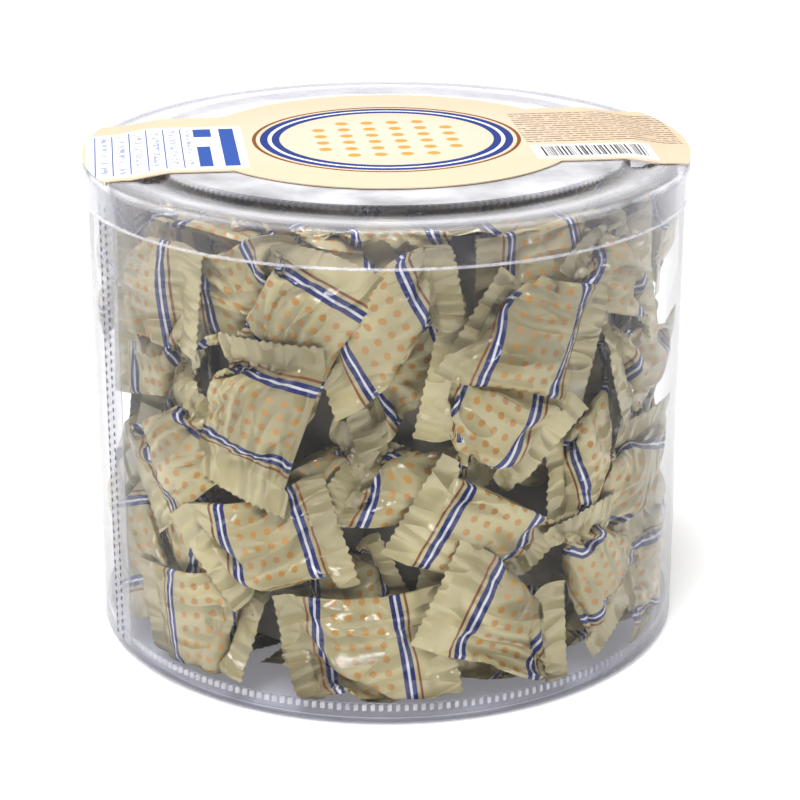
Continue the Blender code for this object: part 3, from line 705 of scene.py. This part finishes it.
def settle(packs):
    """Gives each pack the depth of its middle sheet, and the room that its film has around it."""
    rooms = {zone: free_room(zone) for zone in ("side", "top", "bottom")}
    taken = {zone: np.zeros(room.shape, dtype=bool) for zone, room in rooms.items()}
    along, aside = np.meshgrid(GRID_ALONG, GRID_ASIDE, indexing="ij")
    thick = half_thickness(along, aside)
    hard = thick > 0.6 * SWEET_HALF
    lift = FILM_LIFT * (1.0 - np.minimum(thick / (0.6 * SWEET_HALF), 1.0))
    shown = []
    for pack in packs:
        room = rooms[pack.zone]
        across, up = pack.spread(along, aside)
        cells = cells_of(pack.zone, across, up, room.shape)
        pack.share = np.mean(~taken[pack.zone][cells])
        if pack.share < pack.least:
            continue
        reach = DEEP_RADIUS if pack.deep else farthest_out(pack.zone, up)
        limit = np.minimum(room[cells] + PRESS, reach - pack.inset) - thick
        slope = pack.lean[0] * along + pack.lean[1] * aside
        pack.seat = np.quantile((limit - slope)[hard], SEAT_SHARE) - pack.drop
        rest = np.minimum(pack.seat + slope, limit)
        depth = rest + lift * (limit - rest)
        for _ in range(4):
            padded = np.pad(depth, 1, mode="edge")
            near = (padded[:-2, 1:-1] + padded[2:, 1:-1]
                    + padded[1:-1, :-2] + padded[1:-1, 2:]) / 4.0
            depth = np.where(hard, rest, np.minimum(near, limit))
        pack.depth = depth
        pack.ceiling = np.minimum(limit + thick - PRESS / 2.0, farthest_out(pack.zone, up) - pack.inset)
        pack.floor = depth - thick + PRESS / 2.0
        np.minimum.at(room, cells, depth - thick)
        taken[pack.zone][cells] = True
        shown.append(pack)
    return shown


packs = settle(all_packs())
print("packs that show:", len(packs))

# %% [markdown]
# ## The wrappers
# A flow wrapper is a tube of thin film, pressed flat and welded at both ends, with a hard sweet
# loose inside. Its soft panels and sharp creases come from film that can bend but hardly
# stretch. That can be sculpted, or it can be simulated. Here every wrapper is a net of points
# tied by threads of fixed length. The threads are pulled back to their length again and again
# while the sweet, the welds, the wall and the neighbours push the film about. Longer struts keep
# its panels broad, and each welded end is drawn towards a flat plate. All wrappers are worked
# out at once, as one array of numbers.

# %% The wrapper's net
ROWS, ROUND, SEAL_ROWS = 45, 56, 7
FILM_LENGTH, FILM_WIDTH = 55.5, 36.8  # from here to the laying, lengths are in millimetres
STEP_ALONG, STEP_ROUND = FILM_LENGTH / (ROWS - 1), 2 * FILM_WIDTH / ROUND
row, column = np.meshgrid(np.arange(ROWS), np.arange(ROUND), indexing="ij")
on_front = column < ROUND // 2
along_mm = (-FILM_LENGTH / 2 + row * STEP_ALONG).ravel()
aside_mm = np.where(on_front, -FILM_WIDTH / 2 + (column + 0.5) * STEP_ROUND,
                    FILM_WIDTH / 2 - (column - ROUND // 2 + 0.5) * STEP_ROUND).ravel()
sealed = (row < SEAL_ROWS) | (row >= ROWS - SEAL_ROWS)
FOLDS = (ROUND // 2 - 1, ROUND - 1)  # the columns before the wrapper's two long edges
STRUT_SHARE, STRUT_GRIP = 0.97, 0.12


def threads():
    """Pairs of points, the length between them and how strictly it is kept.

    The pairs of one set share no point, so that a whole set can be pulled back at once.
    """
    made = []

    def tie(rows_in, columns_in, down, right, length, grip):
        r, c = np.nonzero(rows_in[:, None] & columns_in[None, :])
        inside = r + down < ROWS
        r, c = r[inside], c[inside]
        step = 1 if right >= 0 else -1
        crossed = np.zeros(len(c), dtype=bool)
        for i in range(abs(right)):
            crossed |= np.isin((c + step * i + (0 if step > 0 else -1)) % ROUND, FOLDS)
        crossed &= sealed[r, c] | sealed[r + down, c]
        if abs(right) + down > 1:
            r, c, crossed = r[~crossed], c[~crossed], crossed[~crossed]
        rest = np.where(crossed, 0.02, length).astype(np.float32)[:, None]
        bend = np.where(sealed[r, c], 4.0, 1.0) if max(down, abs(right)) == 2 else np.ones(len(r))
        made.append((r * ROUND + c, (r + down) * ROUND + (c + right) % ROUND, rest,
                     (0.5 * grip * bend).astype(np.float32)[:, None]))

    rows_all, columns_all = np.arange(ROWS), np.arange(ROUND)
    every_row, every_column = rows_all >= 0, columns_all >= 0
    for part in (0, 1):
        tie(rows_all % 2 == part, every_column, 1, 0, STEP_ALONG, 0.9)
        tie(every_row, columns_all % 2 == part, 0, 1, STEP_ROUND, 0.9)
    for part in (0, 1):
        for way in (1, -1):
            tie(rows_all % 2 == part, every_column, 1, way, math.hypot(STEP_ALONG, STEP_ROUND), 0.5)
    for pair in ((0, 1), (2, 3)):
        tie(np.isin(rows_all % 4, pair), every_column, 2, 0, 2 * STEP_ALONG, 0.05)
        tie(every_row, np.isin(columns_all % 4, pair), 0, 2, 2 * STEP_ROUND, 0.05)
    return made


def struts():
    """Pairs four points apart, which may not come much closer: they keep the film's panels broad."""
    made = []
    r, c = (part.ravel() for part in (row, column))
    for down, right in ((4, 0), (0, 4)):
        inside = r + down < ROWS
        for i in range(right):
            inside &= ~np.isin((c + i) % ROUND, FOLDS)
        for part in (0, 1):
            here = inside & (((r if down else c) // 4) % 2 == part)
            first = r[here] * ROUND + c[here]
            second = (r[here] + down) * ROUND + (c[here] + right) % ROUND
            made.append((first, second, STRUT_SHARE * 4 * (STEP_ALONG if down else STEP_ROUND)))
    return made


print("a wrapper's net has", ROWS * ROUND, "points")

# %% What pushes the film
SWEET_AXES = (11.5, 9.0, 6.0)
LONG, WIDE = 52.0, 33.0  # the pack in millimetres
LAST_ALONG, LAST_ASIDE = len(GRID_ALONG) - 1, len(GRID_ASIDE) - 1
weld_row, weld_column = np.nonzero(sealed & on_front)
WELD_FRONT = weld_row * ROUND + weld_column
WELD_BACK = weld_row * ROUND + (ROUND - 1 - weld_column)


def pull_back(film, ties):
    for first, second, rest, grip in ties:
        gap = film[second] - film[first]
        length = np.sqrt(np.einsum("vpi,vpi->vp", gap, gap)) + 1e-6
        gap *= (grip * (1.0 - rest / length))[..., None]
        film[first] += gap
        film[second] -= gap


def push_apart(film, pairs):
    for first, second, least in pairs:
        gap = film[second] - film[first]
        length = np.sqrt(np.einsum("vpi,vpi->vp", gap, gap)) + 1e-6
        gap *= (STRUT_GRIP * np.minimum(1.0 - least / length, 0.0))[..., None]
        film[first] += gap
        film[second] -= gap


def straighten(film, ends, grip):
    """Draws each welded end towards a flat plate: the best turned copy of its flat shape."""
    for points, share in zip(ends, grip):
        here = film[points]
        middle = here.mean(axis=0)
        flat = np.stack([along_mm[points], aside_mm[points]], axis=-1)
        flat -= flat.mean(axis=0)
        spread = np.einsum("vpi,vj->pij", here - middle, flat)
        left, _, right = np.linalg.svd(spread, full_matrices=False)
        turn = (left @ right).astype(np.float32)
        target = middle + np.einsum("pij,vj->vpi", turn, flat.astype(np.float32))
        film[points] += (target - here) * share[None, :, None]


def outside_sweet(film, seat, lean):
    """Moves points out of a rounded sweet that lies in each wrapper's middle."""
    height = film[..., 2] - seat - lean[:, 0] * film[..., 0] - lean[:, 1] * film[..., 1]
    flat = (film[..., 0] / SWEET_AXES[0]) ** 4 + (film[..., 1] / SWEET_AXES[1]) ** 4
    reach = np.sqrt(np.sqrt(flat) + (height / SWEET_AXES[2]) ** 2) + 1e-6
    grow = np.where(reach < 1.0, 1.0 / np.maximum(reach, 0.3), 1.0)
    film[..., 0] *= grow
    film[..., 1] *= grow
    film[..., 2] = seat + height * grow + lean[:, 0] * film[..., 0] + lean[:, 1] * film[..., 1]


def film_normals(film):
    net = film.reshape(ROWS, ROUND, -1, 3)
    down = np.empty_like(net)
    down[1:-1] = net[2:] - net[:-2]
    down[0], down[-1] = net[1] - net[0], net[-1] - net[-2]
    around = np.roll(net, -1, axis=1) - np.roll(net, 1, axis=1)
    normal = np.cross(down, around)
    normal /= np.sqrt(np.einsum("rcpi,rcpi->rcp", normal, normal))[..., None] + 1e-6
    return normal.reshape(film.shape)


def grid_cell(along, aside):
    """The point of the pack's grid that is nearest to a place on the film."""
    i = np.clip(np.rint((along + LONG / 2) / LONG * LAST_ALONG), 0, LAST_ALONG).astype(int)
    j = np.clip(np.rint((aside + WIDE / 2) / WIDE * LAST_ASIDE), 0, LAST_ASIDE).astype(int)
    return i, j


def inside_room(film, ceiling, floor):
    """Keeps the film between its neighbours: ceiling and floor are grids over the pack."""
    i, j = grid_cell(film[..., 0], film[..., 1])
    pack = np.arange(film.shape[1])[None, :]
    film[..., 2] = np.minimum(np.maximum(film[..., 2], floor[pack, i, j]), ceiling[pack, i, j])


print("each wrapper is welded at", len(WELD_FRONT), "points")

# %% Creasing all wrappers at once
ROUNDS, PUSH, SEAL_GRIP = (180), 0.006, (0.06, 0.5)
END_FROM, END_SPAN = 10.0, 16.0  # where the ends begin to be pushed about, and over what length
END_SHORT, END_SHIFT, END_LIFT, END_TWIST = 1.5, 1.6, 3.0, 0.3
ROUGH, PLANES, PLANE_OFF = 0.25, 3, 1.5  # random start, and flats that the film is pressed on


def crease(packs):
    rng = np.random.default_rng(SEED)
    count = len(packs)
    depth, ceiling, floor = (np.stack([getattr(pack, key) for pack in packs]).astype(np.float32) / MM
                             for key in ("depth", "ceiling", "floor"))
    seat = np.array([pack.seat for pack in packs], np.float32) / MM
    lean = np.array([pack.lean for pack in packs], np.float32)
    u, v = along_mm[:, None], aside_mm[:, None]
    i, j = grid_cell(u[:, 0], v[:, 0])
    sign = np.where(on_front, 1.0, -1.0).ravel()[:, None]
    film = np.empty((ROWS * ROUND, count, 3), np.float32)
    film[..., 0], film[..., 1] = u, v
    film[..., 2] = depth[:, i, j].T + sign * half_thickness(u * MM, v * MM) / MM
    for side in (-1.0, 1.0):
        end = np.clip((side * u - END_FROM) / END_SPAN, 0.0, 1.0)
        film[..., 0] -= side * end * rng.uniform(0.0, END_SHORT, count)
        film[..., 1] += end * rng.normal(0.0, END_SHIFT, count)
        lift = rng.normal(0.0, END_LIFT, count) + rng.normal(0.0, END_TWIST, count) * v
        film[..., 2] += end ** 1.5 * lift
    film += rng.normal(0.0, ROUGH, film.shape).astype(np.float32)
    planes = []
    for _ in range(PLANES):
        tip, turn = rng.uniform(-0.8, 0.8, count), rng.uniform(0.0, 2.0 * math.pi, count)
        flat = np.sqrt(1.0 - tip ** 2)
        normal = np.stack([tip, flat * np.cos(turn), flat * np.sin(turn)], axis=-1).astype(np.float32)
        reach = np.sqrt(((normal * np.array(SWEET_AXES, np.float32)) ** 2).sum(axis=1)) * 1.05
        planes.append((normal, reach + rng.uniform(0.0, PLANE_OFF, count).astype(np.float32)))
    middle = np.stack([np.zeros(count), np.zeros(count), seat], axis=-1).astype(np.float32)
    loose = ~sealed.ravel()[:, None, None]
    ties, pairs = threads(), struts()
    ends = [np.nonzero((rows < SEAL_ROWS).ravel())[0] for rows in (row, ROWS - 1 - row)]
    grip = [rng.uniform(*SEAL_GRIP, count).astype(np.float32) for _ in ends]
    for turn in range(ROUNDS):
        if turn < 0.85 * ROUNDS:
            film += film_normals(film) * (PUSH * loose)
        pull_back(film, ties)
        push_apart(film, pairs)
        straighten(film, ends, grip)
        for normal, reach in planes:
            over = np.maximum(np.einsum("vpi,pi->vp", film - middle, normal) - reach, 0.0)
            film -= over[..., None] * normal * loose
        outside_sweet(film, seat, lean)
        if turn % 3 == 2 or turn > ROUNDS - 4:
            inside_room(film, ceiling, floor)
        weld = (film[WELD_FRONT] + film[WELD_BACK]) / 2.0
        film[WELD_FRONT] = weld
        film[WELD_BACK] = weld
    return film


film = crease(packs)
print("creased", film.shape[1], "wrappers")

# %% [markdown]
# The welded ends are two films pressed together and cut in a zigzag. So the ends get their two
# films set a little apart, one more point between each two of the rim, and a rim that steps in
# and out by a depth of its own at each tooth. Then each wrapper is laid into the tub along the
# same spread as its solid.

# %% Zigzag ends, and laying the wrappers into the tub
TOOTH = 0.42


def finish_ends(film):
    rng = np.random.default_rng(SEED)
    normal = film_normals(film)
    half = np.where(sealed, 0.1, 0.0).ravel()[:, None, None]
    film += normal * half
    extra = []
    for end, side in ((0, -1.0), (ROWS - 1, 1.0)):
        rim = film[end * ROUND:(end + 1) * ROUND]
        between = (rim + np.roll(rim, -1, axis=0)) / 2.0
        fold = np.where(on_front, column, ROUND - 1 - column)[0]
        depth = side * TOOTH * rng.uniform(0.2, 1.0, (ROUND // 2, film.shape[1]))
        rim[..., 0] += np.where(fold % 2 == 0, 1.0, -1.0)[:, None] * depth[fold]
        low = np.minimum(fold, np.roll(fold, -1))
        between[..., 0] += np.where(low % 2 == 0, 1.0, -1.0)[:, None] * depth[low]
        extra.append(between)
    return np.concatenate([film] + extra)


film = finish_ends(film)
laid = []
for number, pack in enumerate(packs):
    across, up = pack.spread(film[:, number, 0] * MM, film[:, number, 1] * MM)
    laid.append(pack.world(across, up, film[:, number, 2] * MM))
print("laid", len(laid), "wrappers")

# %% [markdown]
# One tube of quads serves all wrappers: a cone's side, cut into rows, its open ends bridged flat
# and the small holes that stay at the folds filled. Its map gives each point's place on the flat
# film in millimetres, so that the print bends with the creases. Every wrapper is a copy of it,
# with its own points and its print a little shifted, as on a real roll of film.

# %% The wrapper's mesh
def wrapper_template():
    bm = bmesh.new()
    bmesh.ops.create_cone(bm, cap_ends=False, segments=ROUND, radius1=1.0, radius2=1.0, depth=2.0)
    long_edges = [edge for edge in bm.edges if abs(edge.verts[0].co.z - edge.verts[1].co.z) > 1.0]
    bmesh.ops.subdivide_edges(bm, edges=long_edges, cuts=ROWS - 2, use_grid_fill=True)
    rims = [edge for edge in bm.edges if edge.is_boundary]
    bmesh.ops.subdivide_edges(bm, edges=rims, cuts=1)
    places = []
    for vertex in bm.verts:
        turn = math.atan2(vertex.co.y, vertex.co.x) / (2.0 * math.pi) * ROUND
        places.append((round((vertex.co.z + 1.0) / 2.0 * (ROWS - 1)),
                       round(2.0 * turn) / 2.0 % ROUND))
    ring = bm.loops.layers.uv.new("film")
    for face in bm.faces:
        columns = [places[loop.vert.index][1] for loop in face.loops]
        for loop, at in zip(face.loops, columns):
            if at == 0 and max(columns) > 2:
                at = ROUND
            loop[ring].uv = (-FILM_LENGTH / 2 + places[loop.vert.index][0] * STEP_ALONG,
                             -FILM_WIDTH / 2 + (at + 0.5) * STEP_ROUND)
    for end in (0, ROWS - 1):
        rim = [edge for edge in bm.edges
               if edge.is_boundary and all(places[v.index][0] == end for v in edge.verts)]
        for vertex in {vertex for edge in rim for vertex in edge.verts}:
            place = places[vertex.index][1]
            front = place < ROUND // 2
            vertex.co = (place if front else ROUND - 1 - place, 0.1 if front else -0.1, vertex.co.z)
        fold_points = (ROUND / 2 - 0.5, ROUND - 0.5)
        open_rim = [edge for edge in rim
                    if not any(places[v.index][1] in fold_points for v in edge.verts)]
        bmesh.ops.bridge_loops(bm, edges=open_rim)
    bmesh.ops.holes_fill(bm, edges=[edge for edge in bm.edges if edge.is_boundary], sides=4)
    bmesh.ops.recalc_face_normals(bm, faces=bm.faces[:])
    bmesh.ops.reverse_faces(bm, faces=bm.faces[:])
    mesh = bpy.data.meshes.new("wrapper")
    bm.to_mesh(mesh)
    bm.free()
    order = np.array([  # which point of the creased film each vertex is
        int(r * ROUND + c) if c == int(c) else int(ROWS * ROUND + (r > 0) * ROUND + c)
        for r, c in places])
    return mesh, order


template, order = wrapper_template()
print("one wrapper:", len(template.polygons), "faces")

# %% [markdown]
# ## The film's material
# The wrapper is a cream, faintly pearly film with a print of its own: two blue bands across it,
# each with a white line in it and a brown one beside it, and rows of brown dots. All of it reads
# the film's own map, in millimetres. Over the cream lie broad patches of painted shade, laid out
# by place in the tub, which dim it to as little as half. The welded ends carry fine crimps, and
# the whole film has fine creases and small unevenness, all as bump. The creases are the lines where
# a stretched noise passes its middle value. The wrapper's place in the tub shifts that noise, so
# no two wrappers are creased alike.

# %% Film material
def film_material():
    material, nodes, shader = new_material("cream_film")
    coords = nodes.add("ShaderNodeTexCoord").outputs
    place = nodes.add("ShaderNodeMapping", {"Vector": coords["UV"]}).outputs[0]
    u, v, _ = nodes.add("ShaderNodeSeparateXYZ", {0: place}).outputs
    cloudy = nodes.noise(coords["Object"], 60.0, 3.0)
    # Painted shade: broad patches over the tub dim the cream to as little as half.
    broad = nodes.math("MULTIPLY_ADD", nodes.noise(coords["Object"], 28.0, 1.0), 2.4, -0.7, clamp=True)
    colour = nodes.blend(broad, (0.27, 0.23, 0.117), (0.53, 0.462, 0.25))
    # Bands across the wrapper, and rows of dots between them
    along = nodes.math("ABSOLUTE", u)
    colour = nodes.blend(nodes.between(along, 11.0, 14.6), colour, (0.015, 0.024, 0.125))
    colour = nodes.blend(nodes.between(along, 12.4, 13.2), colour, (0.62, 0.62, 0.65))
    colour = nodes.blend(nodes.between(along, 15.6, 16.4), colour, (0.20, 0.07, 0.025))
    dots, _ = dots_on(nodes, place, 4.6)
    dots = nodes.times(dots, nodes.math("LESS_THAN", along, 9.2))
    colour = nodes.blend(dots, colour, (0.44, 0.235, 0.065))
    nodes.wire(colour, shader.inputs["Base Color"])
    nodes.wire(nodes.math("MULTIPLY_ADD", cloudy, 0.14, 0.11), shader.inputs["Roughness"])
    # Crimps on the welded ends, then the creases
    ends = nodes.math("GREATER_THAN", nodes.math("ABSOLUTE", u), 18.6)
    crimps = nodes.math("SINE", nodes.times(v, 2.667))
    height = nodes.times(crimps, nodes.times(ends, 0.02))
    height = nodes.math("MULTIPLY_ADD", nodes.noise(coords["Object"], 420.0, 3.0), 0.05, height)
    which = nodes.vector("DOT_PRODUCT", coords["Object"], (23.0, 31.0, 27.0))
    apart = nodes.add("ShaderNodeCombineXYZ", {"Z": which}).outputs[0]
    for turn, stretch, strength in ((0.45, (0.03, 0.11, 0.0), 8.0), (-0.65, (0.035, 0.10, 0.0), 8.0),
                                    (1.5, (0.04, 0.13, 0.0), 5.0)):
        long_way = nodes.add("ShaderNodeMapping", {"Vector": place, "Rotation": (0.0, 0.0, turn),
                                                   "Scale": stretch}).outputs[0]
        ridge = nodes.noise(nodes.vector("ADD", long_way, apart), 1.0, 0.0)
        ridge = nodes.math("ABSOLUTE", nodes.math("SUBTRACT", ridge, 0.5))
        height = nodes.math("MULTIPLY_ADD", ridge, strength, height)
    bump = nodes.add("ShaderNodeBump", {"Height": height, "Strength": 0.85,
                                        "Distance": 0.0014}).outputs[0]
    nodes.wire(bump, shader.inputs["Normal"])
    return material


cream_film = film_material()
print("film material ready")

# %% All wrappers, in a few pieces
PER_PIECE, CREASE_ANGLE = 37, math.radians(46.0)
PRINT_SHIFT, TURNED_SHARE = (3.0, 2.5), 0.15


def wrappers_piece(name, numbers, shifts):
    bm = bmesh.new()
    for number in numbers:
        copy = template.copy()
        copy.vertices.foreach_set("co", laid[number][order].astype(np.float32).ravel())
        shifted = np.empty(len(copy.loops) * 2, np.float32)
        copy.uv_layers["film"].data.foreach_get("uv", shifted)
        shifted = shifted.reshape(-1, 2) + shifts[number]
        copy.uv_layers["film"].data.foreach_set("uv", shifted.ravel())
        bm.from_mesh(copy)
        bpy.data.meshes.remove(copy)
    piece = add_piece(name, bm, cream_film, "candy_heap")
    piece.data.set_sharp_from_angle(angle=CREASE_ANGLE)
    return piece


rng = np.random.default_rng(SEED + 1)
least_shift = tuple(-shift for shift in PRINT_SHIFT)
shifts = rng.uniform(least_shift, PRINT_SHIFT, (len(packs), 2)).astype(np.float32)
turned_over = rng.random(len(packs)) < TURNED_SHARE
turned_over[:len(FRONT_PACKS)] = False
turned_over[[number for number, pack in enumerate(packs) if pack.plain]] = True
shifts[turned_over, 1] += FILM_WIDTH
for first in range(0, len(packs), PER_PIECE):
    numbers = range(first, min(first + PER_PIECE, len(packs)))
    wrappers_piece("wrappers_%d" % (first // PER_PIECE + 1), numbers, shifts)

# %% [markdown]
# Behind the wrappers that show lie more of them, in deep shade. A crumpled body closes the view
# between them: a cone whose side is cut into many faces and pushed about by noise, and coloured
# a deep brown that is painted shade.

# %% The heap's dark middle
CORE_LOW, CORE_HIGH, CORE_RADIUS = 14.0 * MM, 133.0 * MM, 70 * MM


def heap_core():
    bm = bmesh.new()
    middle = Matrix.Translation((0.0, 0.0, (CORE_LOW + CORE_HIGH) / 2.0))
    bmesh.ops.create_cone(bm, cap_ends=True, segments=64, radius1=CORE_RADIUS, radius2=CORE_RADIUS,
                          depth=CORE_HIGH - CORE_LOW, matrix=middle)
    long_edges = [edge for edge in bm.edges if abs(edge.verts[0].co.z - edge.verts[1].co.z) > 1.0 * MM]
    bmesh.ops.subdivide_edges(bm, edges=long_edges, cuts=20, use_grid_fill=True)
    for vertex in bm.verts:
        push = noise.noise(vertex.co * 60.0) * 5.0 * MM
        vertex.co += vertex.co.normalized() * push
    return bm


core_film, core_nodes, core_shader = new_material("film_with_painted_shade")
core_place = core_nodes.add("ShaderNodeTexCoord").outputs["Object"]
# Painted shade: a deep brown in place of the cream film, for the shaded packs deep in the heap.
painted_core_shade = core_nodes.blend(core_nodes.noise(core_place, 70.0, 3.0),
                               (0.13, 0.115, 0.09), (0.25, 0.22, 0.16))
core_nodes.wire(painted_core_shade, core_shader.inputs["Base Color"])
core_shader.inputs["Roughness"].default_value = 0.5
add_piece("heap_core", heap_core(), core_film, "candy_heap", smooth=False)

# %% [markdown]
# ## Floor, light and camera
# The picture was taken in a white studio: a pale floor and an even white surround. The floor
# also glows as painted light, weaker near the tub and stronger farther out, which fills the
# tub's shadow on it. Four soft lights stand in the studio: a broad one above, a small one in
# front that puts glints on the film, and one at each side behind the tub. The camera looks down
# on the tub with a long lens.

# %% Floor
floor_bm = bmesh.new()
bmesh.ops.create_grid(floor_bm, x_segments=1, y_segments=1, size=8.0)
floor_mesh = bpy.data.meshes.new("studio_floor")
floor_bm.to_mesh(floor_mesh)
floor_bm.free()
floor_material, floor_nodes, floor_shader = new_material("studio_floor")
floor_shader.inputs["Base Color"].default_value = (0.9, 0.9, 0.9, 1.0)
floor_shader.inputs["Roughness"].default_value = 0.6
floor_place = floor_nodes.add("ShaderNodeTexCoord").outputs["Object"]
floor_reach = floor_nodes.vector("LENGTH", floor_place)
# Painted light: the floor glows, to fill the tub's shadow and keep the floor white.
floor_glow = floor_nodes.add("ShaderNodeMapRange", {  # the glow grows from 0.25 to 0.7 outwards
    0: floor_reach, 1: 0.1, 2: 0.6, 3: 0.25, 4: 0.7}).outputs[0]
floor_nodes.wire(floor_glow, floor_shader.inputs["Emission Color"])
floor_shader.inputs["Emission Strength"].default_value = 1.0
floor_mesh.materials.append(floor_material)
studio_floor = bpy.data.objects.new("studio_floor", floor_mesh)
bpy.context.scene.collection.objects.link(studio_floor)
print("floor laid")

# %% Light
world = bpy.data.worlds.new("white_studio")
bpy.context.scene.world = world
world.use_nodes = True
background = world.node_tree.nodes["Background"]
background.inputs[0].default_value = (0.97, 0.98, 1.0, 1.0)
background.inputs[1].default_value = 0.12


def soft_light(name, place, size, power, aim=(0.0, 0.0, 0.08)):
    light = bpy.data.lights.new(name, "AREA")
    light.shape, light.size, light.energy = "SQUARE", size, power
    thing = bpy.data.objects.new(name, light)
    thing.location = place
    thing.rotation_euler = (Vector(aim) - Vector(place)).to_track_quat("-Z", "Y").to_euler()
    bpy.context.scene.collection.objects.link(thing)


soft_light("soft_top", (-0.12, -0.35, 1.25), 0.6, 25.0)
soft_light("small_key", (-0.35, -0.95, 1.0), 0.12, 3.4)
soft_light("left_strip", (-1.1, 0.7, 0.5), 0.8, 6.0)
soft_light("right_strip", (1.1, 0.7, 0.5), 0.8, 7.0)
print("lights set")

# %% Camera
CAMERA_PLACE = (0.0, -0.7207, 0.3328)
CAMERA_PITCH, CAMERA_YAW = math.radians(20.15), math.radians(0.33)
camera_data = bpy.data.cameras.new("camera")
camera_data.lens, camera_data.sensor_width = 107.8, 36.0
camera = bpy.data.objects.new("camera", camera_data)
camera.location = CAMERA_PLACE
camera.rotation_euler = (math.pi / 2.0 - CAMERA_PITCH, 0.0, -CAMERA_YAW)
bpy.context.scene.collection.objects.link(camera)
bpy.context.scene.camera = camera
bpy.context.scene.view_settings.view_transform = "Standard"
bpy.context.scene.cycles.transparent_max_bounces = 32
print("camera at", CAMERA_PLACE)
